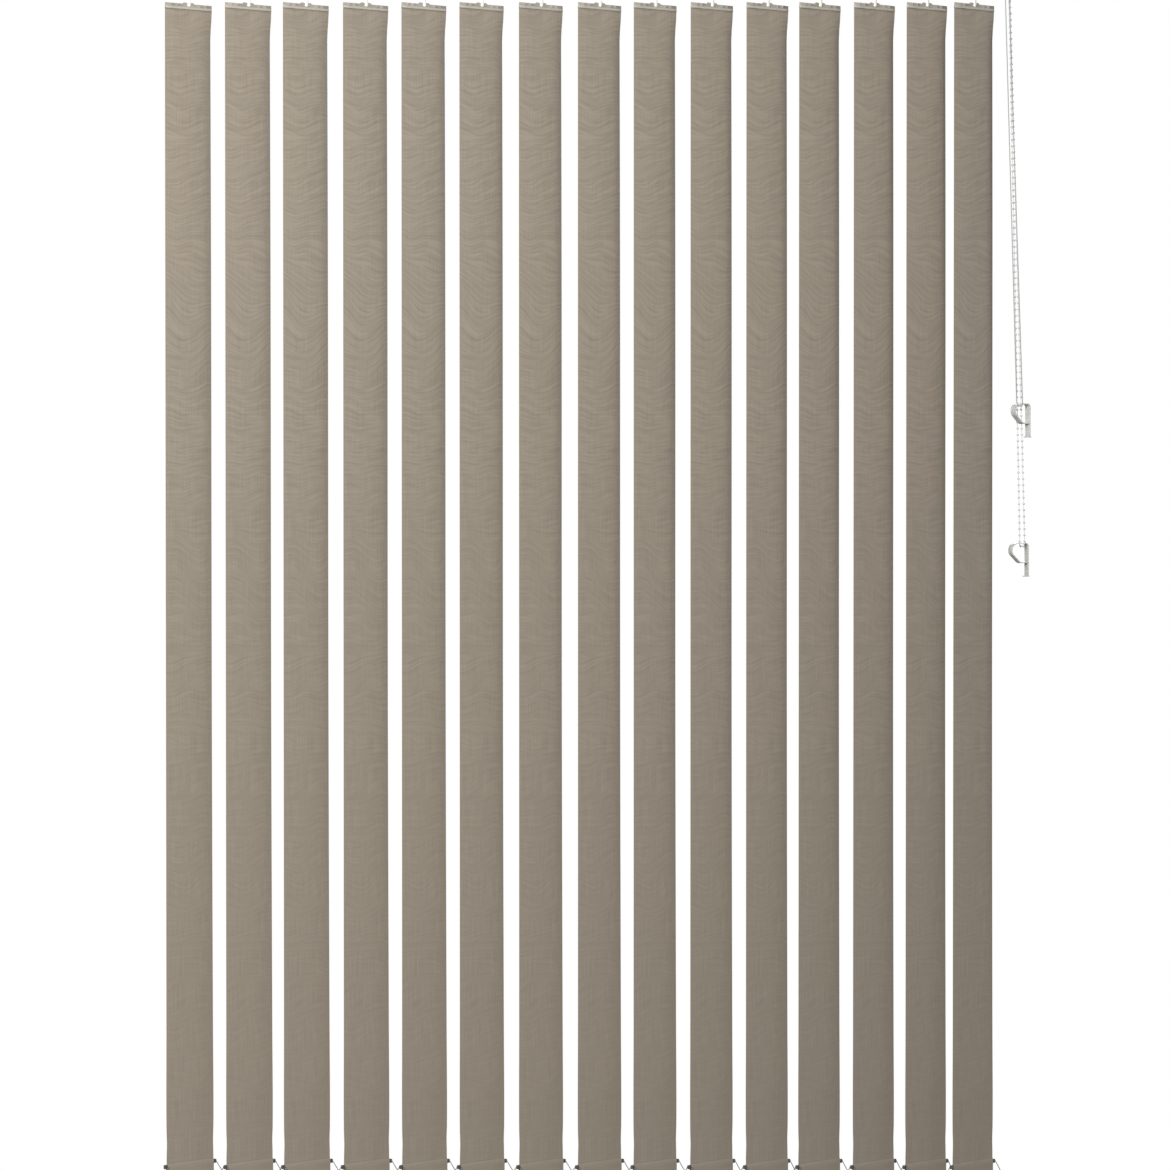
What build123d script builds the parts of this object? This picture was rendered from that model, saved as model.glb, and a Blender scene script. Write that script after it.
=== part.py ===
from build123d import *

import os
from math import cos, pi, radians, sin, tan

# A vertical blind: fifteen fabric vanes hung from carriers that run in an aluminium headrail.
#
# Frame: X runs along the headrail towards the control end, +Y points away from the room,
# +Z points up, and the origin is the centre of the bracket screws on the ceiling.
# All sizes are in millimetres.

# ---------------------------------------------------------------- driving dimensions
# Vanes
VANE_WIDTH = 127.0
VANE_DROP = 2240.0  # fabric, from its top edge to its hem
VANE_ANGLE = 49.5  # from the rail's axis; the left edge of each vane is the near one
FABRIC_THICKNESS = 0.8
HEM_DEPTH = 36.0
HEM_THICKNESS = 3.3
CARRIER_GAPS = [114, 110, 114, 111, 110, 113, 112, 106, 108, 106, 100, 104, 100, 90]

# Headrail extrusion
RAIL_WIDTH = 44.0
RAIL_HEIGHT = 27.0
RAIL_WALL = 1.3
RAIL_SLOT = 16.0
RAIL_CORNER = 1.2  # outside radius
RAIL_DROP = 3.5  # ceiling to the top of the rail
LEFT_MARGIN = 62.0  # first carrier's centre to the outer face of the end cap
RIGHT_MARGIN = 110.0  # last carrier's centre to the outer face of the control housing
HOUSING_LENGTH = 70.0
HOUSING_DROP = 11.5  # how far the control housing reaches below the rail
HOUSING_WALL = 1.8
HOUSING_OVERHANG = 1.5  # beyond the rail, on each side
END_PLATE = 2.0
END_CAP_PLATE = 3.0
END_CAP_PLUG = 28.0

# Ceiling brackets
BRACKET_PITCH = 650.0
BRACKET_LENGTH = 26.0
BRACKET_SHEET = 1.5
BRACKET_SCREW_HOLE = 4.5
GROOVE_DEPTH = 0.7
GROOVE_HEIGHT = 1.2
GROOVE_DOWN = 5.0  # rail's top to the groove's upper side

# Mechanism
ROD_DIAMETER = 6.0
ROD_FLUTES = 5
FLUTE_RADIUS = 0.8
ROD_OFFSET = 9.5  # rod's axis behind the line of the stems
ROD_DOWN = 12.0  # rod's axis below the rail's top
WORM_CORE = 7.8
WORM_THREAD_RADIUS = 5.6  # over the thread, which is left to the finish
WHEEL_TIP_RADIUS = 5.3
WHEEL_ROOT_RADIUS = 3.7
WHEEL_TEETH = 10
WHEEL_FACE = 6.0
STEM_DIAMETER = 5.0
CARRIER_LENGTH = 14.5
CARRIER_WALL = 1.5
SHOE_HEIGHT = 2.6
NECK_DEPTH = 3.0  # below the rail
LINK_REACH = 118.0
LINK_WIDTH = 6.0
LINK_SHEET = 0.25
LINK_LANE = 0.4
LINK_LANES = 8

# Cords, chains and what they run over
CORD_DIAMETER = 2.0
CORD_OFFSET = 10.0  # both cord lanes, in front of the line of the stems
CORD_LANES = (8.5, 20.5)  # below the rail's top
DROP_PULLEY_RADIUS = 5.5  # to the cord's centre
PULLEY_WIDTH = 5.0
PULLEY_PIN = 4.0
BEAD_DIAMETER = 4.4
CHAIN_PITCH_RADIUS = 7.64  # four beads 12 mm apart to a turn
CHAIN_WHEEL_WIDTH = 8.0
HEM_CHAIN_DIAMETER = 2.2
HEM_CHAIN_SAG = 47.0
CHAIN_INSET = 4.0  # each length starts and ends this far from its clip's centre

# Hangers, weights and clips
HANGER_DROP = 34.0  # rail's underside to the fabric's top edge
HANGER_THICKNESS = 2.8
HANGER_RISE = 7.0
HANGER_GRIP = 4.0
WEB_RISE = 9.5  # top of the hanger's hump above the fabric's top edge
WEB_HEIGHT = 4.2
WEB_WIDTH = 24.0
WEB_THICKNESS = 2.0
PRONG_SPREAD = 6.4
WEIGHT_WIDTH = 120.0
WEIGHT_HEIGHT = 32.0
WEIGHT_THICKNESS = 2.2
CLIP_HEIGHT = 7.0
CLIP_REACH = 4.6

# P-clips: a strip bent into a ring on a straight leg
P_CLIP_WIDTH = 15.0
P_CLIP_SHEET = 2.0
P_CLIP_HEIGHT = 65.0
P_CLIP_RING = 36.0
P_CLIP_RING_HEIGHT = 38.0  # to the middle of the strip at its bottom
P_CLIP_FOOT = 6.0
P_CLIP_SCREW_HOLE = 4.2
UPPER_CLIP_DOWN = 754.0  # fabric's top edge to the clip's top
UPPER_CLIP_YAW = 33.0
UPPER_CLIP_OUT = 86.5  # last carrier's centre to the clip's cords
UPPER_CLIP_FRONT = 15.0  # in front of the line of the stems
LOWER_CLIP_DOWN = 1020.0
LOWER_CLIP_YAW = 23.0
LOWER_CLIP_OUT = 93.5

# Clearances
SLIDE_GAP = 0.05
SHAFT_GAP = 0.06
CORD_GAP = 0.35
GUIDE_GAP = 0.3
PLUG_GAP = 0.15
HOOK_GAP = 0.6  # between a P-clip and the cord that passes round its ring

# ---------------------------------------------------------------- derived places
VANE_COUNT = len(CARRIER_GAPS) + 1
OVERALL = LEFT_MARGIN + sum(CARRIER_GAPS) + RIGHT_MARGIN
LEFT_END = -OVERALL / 2
RIGHT_END = OVERALL / 2
CARRIER_X = [LEFT_END + LEFT_MARGIN + sum(CARRIER_GAPS[:i]) for i in range(VANE_COUNT)]
LAST_X = CARRIER_X[-1]

RAIL_TOP = -RAIL_DROP
RAIL_BOTTOM = RAIL_TOP - RAIL_HEIGHT
CHANNEL_TOP = RAIL_TOP - RAIL_WALL
CHANNEL_BOTTOM = RAIL_BOTTOM + RAIL_WALL
CHANNEL_HALF = RAIL_WIDTH / 2 - RAIL_WALL
RAIL_START = LEFT_END + END_CAP_PLATE
RAIL_END = RIGHT_END - HOUSING_LENGTH
ROD_Z = RAIL_TOP - ROD_DOWN
UPPER_LANE = RAIL_TOP - CORD_LANES[0]
LOWER_LANE = RAIL_TOP - CORD_LANES[1]
FABRIC_TOP = RAIL_BOTTOM - HANGER_DROP
HEM = FABRIC_TOP - VANE_DROP
LINK_TOP = CHANNEL_TOP - 0.3
CARRIER_TOP = LINK_TOP - LINK_LANES * LINK_LANE - 0.4
CORD_Y = -CORD_OFFSET
CHAIN_X = LAST_X + 68.5
CHAIN_FRONT_Y = ROD_OFFSET - CHAIN_PITCH_RADIUS
CHAIN_BACK_Y = ROD_OFFSET + CHAIN_PITCH_RADIUS
PULLEY_FLANGE = 1.1  # beyond the cord's centre

os.makedirs("parts", exist_ok=True)


def save(piece, name):
    """Label a finished piece and write it to its own STEP file."""
    piece.label = name
    export_step(piece, f"parts/{name}.step")


def group(name, pieces):
    """Write several separate solids as one piece."""
    save(Compound(children=pieces), name)


def box_between(low, high, mode=Mode.ADD):
    """A box given by its lowest and highest corners, for use inside a part block."""
    size = [b - a for a, b in zip(low, high)]
    middle = tuple((a + b) / 2 for a, b in zip(low, high))
    with Locations(middle):
        Box(*size, mode=mode)


def rod_outline(growth=0.0):
    """The fluted rod's section, grown all round by a clearance."""
    Circle(ROD_DIAMETER / 2 + growth)
    with PolarLocations(ROD_DIAMETER / 2 + FLUTE_RADIUS / 3, ROD_FLUTES):
        Circle(FLUTE_RADIUS - growth, mode=Mode.SUBTRACT)


# ---------------------------------------------------------------- headrail
with BuildPart() as headrail:
    with BuildSketch(Plane.YZ.offset(RAIL_START)) as rail_section:
        with Locations((0, RAIL_TOP - RAIL_HEIGHT / 2)):
            RectangleRounded(RAIL_WIDTH, RAIL_HEIGHT, RAIL_CORNER)
            Rectangle(RAIL_WIDTH - 2 * RAIL_WALL, RAIL_HEIGHT - 2 * RAIL_WALL, mode=Mode.SUBTRACT)
        with Locations((0, RAIL_BOTTOM)):
            Rectangle(RAIL_SLOT, 4 * RAIL_WALL, mode=Mode.SUBTRACT)
        groove_z = RAIL_TOP - GROOVE_DOWN - GROOVE_HEIGHT / 2
        with Locations((-RAIL_WIDTH / 2, groove_z), (RAIL_WIDTH / 2, groove_z)):
            Rectangle(2 * GROOVE_DEPTH, GROOVE_HEIGHT, mode=Mode.SUBTRACT)
    extrude(amount=RAIL_END - RAIL_START)
    # one extrusion, held as its top, its two sides and its two lips, so that each strip is a
    # plain convex bar and the channel between them stays open
    split(bisect_by=Plane.XY.offset(CHANNEL_TOP), keep=Keep.BOTH)
    split(bisect_by=Plane.XY.offset(CHANNEL_BOTTOM), keep=Keep.BOTH)
group("headrail", headrail.solids())

# ---------------------------------------------------------------- ceiling brackets
# Each spring clip hooks into the grooves along the rail's sides.
BRACKET_HALF = RAIL_WIDTH / 2 + GUIDE_GAP
HOOK_TOP = RAIL_TOP - GROOVE_DOWN
HOOK_HEIGHT = GROOVE_HEIGHT - 0.2
with BuildPart() as bracket:
    with BuildSketch(Plane.YZ.offset(-BRACKET_LENGTH / 2)):
        with Locations((0, -BRACKET_SHEET / 2)):
            Rectangle(2 * (BRACKET_HALF + BRACKET_SHEET), BRACKET_SHEET)
        for side in (-1, 1):
            with Locations((side * (BRACKET_HALF + BRACKET_SHEET / 2), (HOOK_TOP - HOOK_HEIGHT) / 2)):
                Rectangle(BRACKET_SHEET, HOOK_HEIGHT - HOOK_TOP)
            hook_inner = RAIL_WIDTH / 2 - GROOVE_DEPTH + 0.1
            with Locations((side * (hook_inner + BRACKET_HALF) / 2, HOOK_TOP - HOOK_HEIGHT / 2)):
                Rectangle(BRACKET_HALF - hook_inner + 0.02, HOOK_HEIGHT)
    extrude(amount=BRACKET_LENGTH)
    with Locations((0, 0, 0)):
        Hole(BRACKET_SCREW_HOLE / 2)
brackets = [bracket.part.moved(Location((i * BRACKET_PITCH, 0, 0))) for i in (-1, 0, 1)]
group("mounting_brackets", brackets)

# ---------------------------------------------------------------- end cap and its pulley
IDLER_RADIUS = (UPPER_LANE - LOWER_LANE) / 2  # to the cord's centre
IDLER_X = RAIL_START + IDLER_RADIUS + PULLEY_FLANGE + 1.5
IDLER_Z = (UPPER_LANE + LOWER_LANE) / 2
PULLEY_FRONT = CORD_Y - PULLEY_WIDTH / 2
PULLEY_BACK = CORD_Y + PULLEY_WIDTH / 2
PLUG_END = RAIL_START + END_CAP_PLUG
with BuildPart() as end_cap:
    overhang = HOUSING_OVERHANG
    box_between(
        (LEFT_END, -RAIL_WIDTH / 2 - overhang, RAIL_BOTTOM - overhang),
        (RAIL_START, RAIL_WIDTH / 2 + overhang, RAIL_TOP),
    )
    fillet(end_cap.edges().filter_by(Axis.X), 1.4)
    box_between(
        (RAIL_START, -CHANNEL_HALF + PLUG_GAP, CHANNEL_BOTTOM + PLUG_GAP),
        (PLUG_END, CHANNEL_HALF - PLUG_GAP, CHANNEL_TOP - PLUG_GAP),
    )
    # the pulley's pocket and the run of both cords, open towards the carriers
    pocket = IDLER_RADIUS + PULLEY_FLANGE + GUIDE_GAP
    box_between(
        (IDLER_X - pocket, PULLEY_FRONT - 0.2, IDLER_Z - pocket),
        (PLUG_END, PULLEY_BACK + 0.2, IDLER_Z + pocket),
        mode=Mode.SUBTRACT,
    )
    with BuildSketch(Plane.YZ.offset(PLUG_END)):
        with Locations((ROD_OFFSET, ROD_Z)):
            Circle(ROD_DIAMETER / 2 + SHAFT_GAP)
    extrude(amount=-(END_CAP_PLUG - 2), mode=Mode.SUBTRACT)
    with BuildSketch(Plane.XZ.offset(-PULLEY_BACK - 3)):
        with Locations((IDLER_X, IDLER_Z)):
            Circle(PULLEY_PIN / 2)
    extrude(amount=CHANNEL_HALF + PULLEY_BACK + 3, mode=Mode.SUBTRACT)
with BuildPart() as idler_pin:
    with BuildSketch(Plane.XZ.offset(-PULLEY_BACK - 3)):
        with Locations((IDLER_X, IDLER_Z)):
            Circle(PULLEY_PIN / 2)
    extrude(amount=CHANNEL_HALF + PULLEY_BACK + 3 - PLUG_GAP)
group("end_cap", [end_cap.part, idler_pin.part])


def pulley(radius, x, z):
    """A grooved cord wheel on a pin along Y; the radius is to the cord's centre."""
    rim = radius + PULLEY_FLANGE
    groove = radius - CORD_DIAMETER / 2 - CORD_GAP
    half = PULLEY_WIDTH / 2
    with BuildPart() as wheel:
        with BuildSketch(Plane.XY):
            with BuildLine():
                Polyline(
                    (PULLEY_PIN / 2 + SHAFT_GAP, -half),
                    (rim, -half),
                    (rim, -half + 0.6),
                    (groove, -CORD_DIAMETER / 2 - CORD_GAP),
                    (groove, CORD_DIAMETER / 2 + CORD_GAP),
                    (rim, half - 0.6),
                    (rim, half),
                    (PULLEY_PIN / 2 + SHAFT_GAP, half),
                    close=True,
                )
            make_face()
        revolve(axis=Axis.Y)
    return wheel.part.moved(Location((x, CORD_Y, z)))


save(pulley(IDLER_RADIUS, IDLER_X, IDLER_Z), "idler_pulley")

# ---------------------------------------------------------------- control housing
OUTER_DROP_X = LAST_X + 64.5
INNER_DROP_X = OUTER_DROP_X - 6.5
OUTER_PULLEY = (OUTER_DROP_X - DROP_PULLEY_RADIUS, UPPER_LANE - DROP_PULLEY_RADIUS)
INNER_PULLEY = (INNER_DROP_X - DROP_PULLEY_RADIUS, LOWER_LANE - DROP_PULLEY_RADIUS)
HOUSING_END = RIGHT_END - END_PLATE
HOUSING_HALF = RAIL_WIDTH / 2 + HOUSING_OVERHANG
HOUSING_BOTTOM = RAIL_BOTTOM - HOUSING_DROP
FRONT_WALL = -HOUSING_HALF + HOUSING_WALL
with BuildPart() as housing:
    box_between((RAIL_END, -HOUSING_HALF, HOUSING_BOTTOM), (HOUSING_END, HOUSING_HALF, RAIL_TOP))
    fillet(housing.edges().filter_by(Axis.X), 1.6)
    box_between(
        (RAIL_END + HOUSING_WALL, -HOUSING_HALF + HOUSING_WALL, HOUSING_BOTTOM + HOUSING_WALL),
        (HOUSING_END, HOUSING_HALF - HOUSING_WALL, CHANNEL_TOP),
        mode=Mode.SUBTRACT,
    )
    # the window that the rod, the cords and the carriers' links pass through
    box_between(
        (RAIL_END - 1, -CHANNEL_HALF + 1.7, CHANNEL_BOTTOM + 0.7),
        (RAIL_END + HOUSING_WALL, CHANNEL_HALF - 1.7, CHANNEL_TOP),
        mode=Mode.SUBTRACT,
    )
    # cheeks that plug into the rail
    for side in (-1, 1):
        faces = sorted((side * (CHANNEL_HALF - 1.7), side * (CHANNEL_HALF - PLUG_GAP)))
        box_between(
            (RAIL_END - 10, faces[0], CHANNEL_BOTTOM + PLUG_GAP),
            (RAIL_END, faces[1], CHANNEL_TOP - PLUG_GAP),
        )
    # bosses and spigots for the two drop pulleys
    with BuildSketch(Plane.XZ.offset(-FRONT_WALL)):
        with Locations(OUTER_PULLEY, INNER_PULLEY):
            Circle(PULLEY_PIN / 2 + 1.2)
    extrude(amount=-(PULLEY_FRONT - 0.2 - FRONT_WALL))
    with BuildSketch(Plane.XZ.offset(-FRONT_WALL)):
        with Locations(OUTER_PULLEY, INNER_PULLEY):
            Circle(PULLEY_PIN / 2)
    extrude(amount=-(PULLEY_BACK + 0.3 - FRONT_WALL))
    # slots in the floor for the two cords and the two strands of the bead chain
    with BuildSketch(Plane.XY.offset(HOUSING_BOTTOM)):
        with Locations(((OUTER_DROP_X + INNER_DROP_X) / 2 + 0.5, CORD_Y)):
            SlotOverall(15, 6)
        with Locations((CHAIN_X, CHAIN_FRONT_Y), (CHAIN_X, CHAIN_BACK_Y)):
            Circle(BEAD_DIAMETER / 2 + 1)
    extrude(amount=HOUSING_WALL, mode=Mode.SUBTRACT)
with BuildPart() as end_plate:
    box_between((HOUSING_END, -HOUSING_HALF, HOUSING_BOTTOM), (RIGHT_END, HOUSING_HALF, RAIL_TOP))
    fillet(end_plate.edges().filter_by(Axis.X), 1.6)
    # the rod's bearing
    with BuildSketch(Plane.YZ.offset(HOUSING_END)):
        with Locations((ROD_OFFSET, ROD_Z)):
            Circle(ROD_DIAMETER / 2 + 2)
            Circle(ROD_DIAMETER / 2 + SHAFT_GAP, mode=Mode.SUBTRACT)
    extrude(amount=-7)
group("control_housing", [housing.part, end_plate.part])
save(pulley(DROP_PULLEY_RADIUS, *OUTER_PULLEY), "drop_pulley_outer")
save(pulley(DROP_PULLEY_RADIUS, *INNER_PULLEY), "drop_pulley_inner")

# ---------------------------------------------------------------- tilt rod and chain wheel
with BuildPart() as tilt_rod:
    with BuildSketch(Plane.YZ.offset(RAIL_START + 3)):
        with Locations((ROD_OFFSET, ROD_Z)):
            rod_outline()
    extrude(amount=HOUSING_END - 0.5 - (RAIL_START + 3))
save(tilt_rod.part, "tilt_rod")

with BuildPart() as chain_wheel:
    with BuildSketch(Plane.YZ.offset(-CHAIN_WHEEL_WIDTH / 2)):
        Circle(CHAIN_PITCH_RADIUS + 1)
    extrude(amount=CHAIN_WHEEL_WIDTH)
    with BuildSketch(Plane.XY):
        with Locations((0, CHAIN_PITCH_RADIUS)):
            Circle(BEAD_DIAMETER / 2 + GUIDE_GAP)
            # straight lips, which clear the chain where it leaves the wheel
            Rectangle(BEAD_DIAMETER + 2 * GUIDE_GAP, 4, align=(Align.CENTER, Align.MIN))
    revolve(axis=Axis.X, mode=Mode.SUBTRACT)
    # a pocket for each bead that the wheel carries
    for turn in range(4):
        angle = turn * pi / 2
        with Locations((0, CHAIN_PITCH_RADIUS * cos(angle), CHAIN_PITCH_RADIUS * sin(angle))):
            Sphere(BEAD_DIAMETER / 2 + 0.7, mode=Mode.SUBTRACT)
    with BuildSketch(Plane.YZ.offset(-CHAIN_WHEEL_WIDTH / 2)):
        rod_outline()
    extrude(amount=CHAIN_WHEEL_WIDTH, mode=Mode.SUBTRACT)
save(chain_wheel.part.moved(Location((CHAIN_X, ROD_OFFSET, ROD_Z))), "chain_wheel")

# ---------------------------------------------------------------- carrier, worm and link
WHEEL_FLOOR = ROD_Z - WHEEL_FACE / 2 - SLIDE_GAP
SHOE_BOTTOM = CHANNEL_BOTTOM + SLIDE_GAP
SHOE_TOP = SHOE_BOTTOM + SHOE_HEIGHT
NECK_BOTTOM = RAIL_BOTTOM - NECK_DEPTH
BLOCK_FRONT = CORD_Y - CORD_DIAMETER / 2 - CORD_GAP - CARRIER_WALL
BLOCK_BACK = ROD_OFFSET + WORM_THREAD_RADIUS + CARRIER_WALL
HALF = CARRIER_LENGTH / 2
POST_X = 3.0
POST_FRONT = CORD_Y + 1.6
POST_BACK = POST_FRONT + 1.4
LINK_FRONT = POST_BACK + 0.5
with BuildPart() as carrier_body:
    box_between((-HALF, BLOCK_FRONT, SHOE_TOP), (HALF, BLOCK_BACK, CARRIER_TOP))
    shoe_half = CHANNEL_HALF - 0.9
    box_between((-HALF, -shoe_half, SHOE_BOTTOM), (HALF, shoe_half, SHOE_TOP))
    fillet(carrier_body.edges().filter_by(Axis.Z), 1.0)
    neck_half = RAIL_SLOT / 2 - GUIDE_GAP
    box_between((-5.5, -neck_half, NECK_BOTTOM), (5.5, neck_half, SHOE_BOTTOM))
    # the wheel's pocket, open at the top, and the stem's bore below it
    pocket_depth = CARRIER_TOP - WHEEL_FLOOR
    with Locations((0, 0, WHEEL_FLOOR + pocket_depth / 2)):
        Cylinder(WHEEL_TIP_RADIUS + GUIDE_GAP, pocket_depth, mode=Mode.SUBTRACT)
    with Locations((0, 0, 0)):
        Cylinder(STEM_DIAMETER / 2 + SHAFT_GAP, 200, mode=Mode.SUBTRACT)
    # the worm's pocket, open at the top, between two cradles that carry it
    thread_room = WORM_THREAD_RADIUS + 0.15
    with BuildSketch(Plane.YZ.offset(-HALF + CARRIER_WALL)):
        with Locations((ROD_OFFSET, ROD_Z)):
            Circle(thread_room)
        with Locations((ROD_OFFSET, (ROD_Z + CARRIER_TOP) / 2)):
            Rectangle(2 * thread_room, CARRIER_TOP - ROD_Z)
    extrude(amount=CARRIER_LENGTH - 2 * CARRIER_WALL, mode=Mode.SUBTRACT)
    with BuildSketch(Plane.YZ.offset(-HALF)):
        with Locations((ROD_OFFSET, ROD_Z)):
            Circle(WORM_CORE / 2 + SHAFT_GAP)
        with Locations((ROD_OFFSET, (ROD_Z + CARRIER_TOP) / 2)):
            Rectangle(WORM_CORE + 2 * SHAFT_GAP, CARRIER_TOP - ROD_Z)
    extrude(amount=CARRIER_LENGTH, mode=Mode.SUBTRACT)
    # the two cord lanes
    with BuildSketch(Plane.YZ.offset(-HALF)):
        with Locations((CORD_Y, UPPER_LANE), (CORD_Y, LOWER_LANE)):
            Circle(CORD_DIAMETER / 2 + CORD_GAP)
    extrude(amount=CARRIER_LENGTH, mode=Mode.SUBTRACT)

with BuildPart() as worm_core:
    with BuildSketch(Plane.YZ.offset(-HALF + SLIDE_GAP)):
        Circle(WORM_CORE / 2)
    extrude(amount=CARRIER_LENGTH - 2 * SLIDE_GAP)
    with BuildSketch(Plane.YZ.offset(-HALF)):
        rod_outline(growth=SHAFT_GAP)
    extrude(amount=CARRIER_LENGTH, mode=Mode.SUBTRACT)


def link_lane(index):
    """The height of the top face of a carrier's link."""
    return LINK_TOP - (index % LINK_LANES) * LINK_LANE


def carrier_with_link(index):
    """One carrier with the post that holds its link, and the link, at their place on the rail."""
    lane = link_lane(index)
    with BuildPart() as body:
        add(carrier_body.part)
        box_between((-POST_X, POST_FRONT, CARRIER_TOP), (POST_X, POST_BACK, lane - LINK_SHEET))
        with Locations((0, (POST_FRONT + POST_BACK) / 2, lane - LINK_SHEET / 2)):
            Cylinder(0.5, LINK_SHEET + 0.2)
    pieces = [body.part]
    if index < VANE_COUNT - 1:
        with BuildPart() as link:
            box_between(
                (-POST_X, LINK_FRONT, lane - LINK_SHEET),
                (LINK_REACH, LINK_FRONT + LINK_WIDTH, lane),
            )
            box_between(
                (-POST_X, POST_FRONT, lane - LINK_SHEET),
                (POST_X, LINK_FRONT, lane),
            )
            with Locations((0, (POST_FRONT + POST_BACK) / 2, lane)):
                Cylinder(0.5, 2, mode=Mode.SUBTRACT)
        pieces.append(link.part)
    place = Location((CARRIER_X[index], 0, 0))
    return [piece.moved(place) for piece in pieces]


for number in range(VANE_COUNT):
    group(f"carrier_{number + 1:02d}", carrier_with_link(number))
    worm_place = Location((CARRIER_X[number], ROD_OFFSET, ROD_Z))
    save(worm_core.part.moved(worm_place), f"worm_{number + 1:02d}")

# ---------------------------------------------------------------- vane
# The pieces are drawn with X along the vane's width and are turned as they are placed.
COLLAR_TOP = NECK_BOTTOM - SLIDE_GAP
COLLAR_BOTTOM = COLLAR_TOP - 3
WEB_TOP = FABRIC_TOP + WEB_RISE
WEB_BOTTOM = WEB_TOP - WEB_HEIGHT
with BuildPart() as tilt_wheel:
    with BuildSketch(Plane.XY.offset(ROD_Z - WHEEL_FACE / 2)):
        Circle(WHEEL_TIP_RADIUS)
        with PolarLocations((WHEEL_TIP_RADIUS + WHEEL_ROOT_RADIUS) / 2, WHEEL_TEETH):
            SlotOverall(WHEEL_TIP_RADIUS - WHEEL_ROOT_RADIUS + 1.4, 1.3, mode=Mode.SUBTRACT)
        Circle(STEM_DIAMETER / 2, mode=Mode.SUBTRACT)
    extrude(amount=WHEEL_FACE)

with BuildPart() as stem:
    with BuildSketch(Plane.XY.offset(COLLAR_BOTTOM)):
        Circle(STEM_DIAMETER / 2)
    extrude(amount=ROD_Z + WHEEL_FACE / 2 + 1 - COLLAR_BOTTOM)
    with BuildSketch(Plane.XY.offset(COLLAR_BOTTOM)):
        Circle(STEM_DIAMETER / 2 + 2)
    extrude(amount=COLLAR_TOP - COLLAR_BOTTOM)
    # two prongs hold the hanger's web, and a tooth through its slot carries it
    prong_bottom = WEB_BOTTOM - 5
    with BuildSketch(Plane.YZ.offset(-PRONG_SPREAD / 2)):
        with Locations((0, (COLLAR_BOTTOM + prong_bottom) / 2)):
            Rectangle(PRONG_SPREAD, COLLAR_BOTTOM - prong_bottom)
        slot_top = WEB_TOP + 0.2
        with Locations((0, (slot_top + prong_bottom) / 2)):
            Rectangle(WEB_THICKNESS + 2 * SLIDE_GAP, slot_top - prong_bottom, mode=Mode.SUBTRACT)
        with Locations((-PRONG_SPREAD / 4, WEB_BOTTOM - 1)):
            Rectangle(PRONG_SPREAD / 2, 2)
    extrude(amount=PRONG_SPREAD)
    chamfer(stem.edges().filter_by(Axis.X).group_by(Axis.Z)[0], 0.5)

with BuildPart() as hanger:
    half_width = VANE_WIDTH / 2 - 1
    grip_bottom = FABRIC_TOP - HANGER_GRIP
    shoulder = FABRIC_TOP + HANGER_RISE
    box_between(
        (-half_width, -HANGER_THICKNESS / 2, grip_bottom),
        (half_width, HANGER_THICKNESS / 2, FABRIC_TOP + 1.5),
    )
    with BuildSketch(Plane.XZ.offset(-WEB_THICKNESS / 2)):
        with BuildLine():
            Polyline(
                (-half_width, FABRIC_TOP),
                (half_width, FABRIC_TOP),
                (half_width, shoulder - 1.5),
                (half_width - 1.5, shoulder),
                (WEB_WIDTH / 2 + 4, shoulder),
                (WEB_WIDTH / 2, WEB_TOP),
                (-WEB_WIDTH / 2, WEB_TOP),
                (-WEB_WIDTH / 2 - 4, shoulder),
                (-half_width + 1.5, shoulder),
                (-half_width, shoulder - 1.5),
                close=True,
            )
        make_face()
        with Locations((0, WEB_BOTTOM - 1.75)):
            SlotOverall(PRONG_SPREAD + 4, 3.5, mode=Mode.SUBTRACT)
    extrude(amount=WEB_THICKNESS)
    box_between(
        (-VANE_WIDTH, -FABRIC_THICKNESS / 2, grip_bottom),
        (VANE_WIDTH, FABRIC_THICKNESS / 2, FABRIC_TOP),
        mode=Mode.SUBTRACT,
    )

WEIGHT_BOTTOM = HEM + (HEM_THICKNESS - WEIGHT_THICKNESS) / 2
HEM_TOP = HEM + HEM_DEPTH
with BuildPart() as fabric:
    half_width = VANE_WIDTH / 2
    box_between((-half_width, -FABRIC_THICKNESS / 2, HEM_TOP), (half_width, FABRIC_THICKNESS / 2, FABRIC_TOP))

# the hem's pocket, a solid of its own below the sheet, open at both ends for the weight
with BuildPart() as hem:
    box_between((-half_width, -HEM_THICKNESS / 2, HEM), (half_width, HEM_THICKNESS / 2, HEM_TOP))
    box_between(
        (-half_width, -WEIGHT_THICKNESS / 2, WEIGHT_BOTTOM),
        (half_width, WEIGHT_THICKNESS / 2, WEIGHT_BOTTOM + WEIGHT_HEIGHT),
        mode=Mode.SUBTRACT,
    )

CLIP_TOP = WEIGHT_BOTTOM + WEIGHT_HEIGHT + 2
CLIP_Z = CLIP_TOP - CLIP_HEIGHT / 2
CLIP_HALF_WIDTH = VANE_WIDTH / 2 + CLIP_REACH
with BuildPart() as weight:
    box_between(
        (-WEIGHT_WIDTH / 2, -WEIGHT_THICKNESS / 2, WEIGHT_BOTTOM),
        (WEIGHT_WIDTH / 2, WEIGHT_THICKNESS / 2, WEIGHT_BOTTOM + WEIGHT_HEIGHT),
    )


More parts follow.
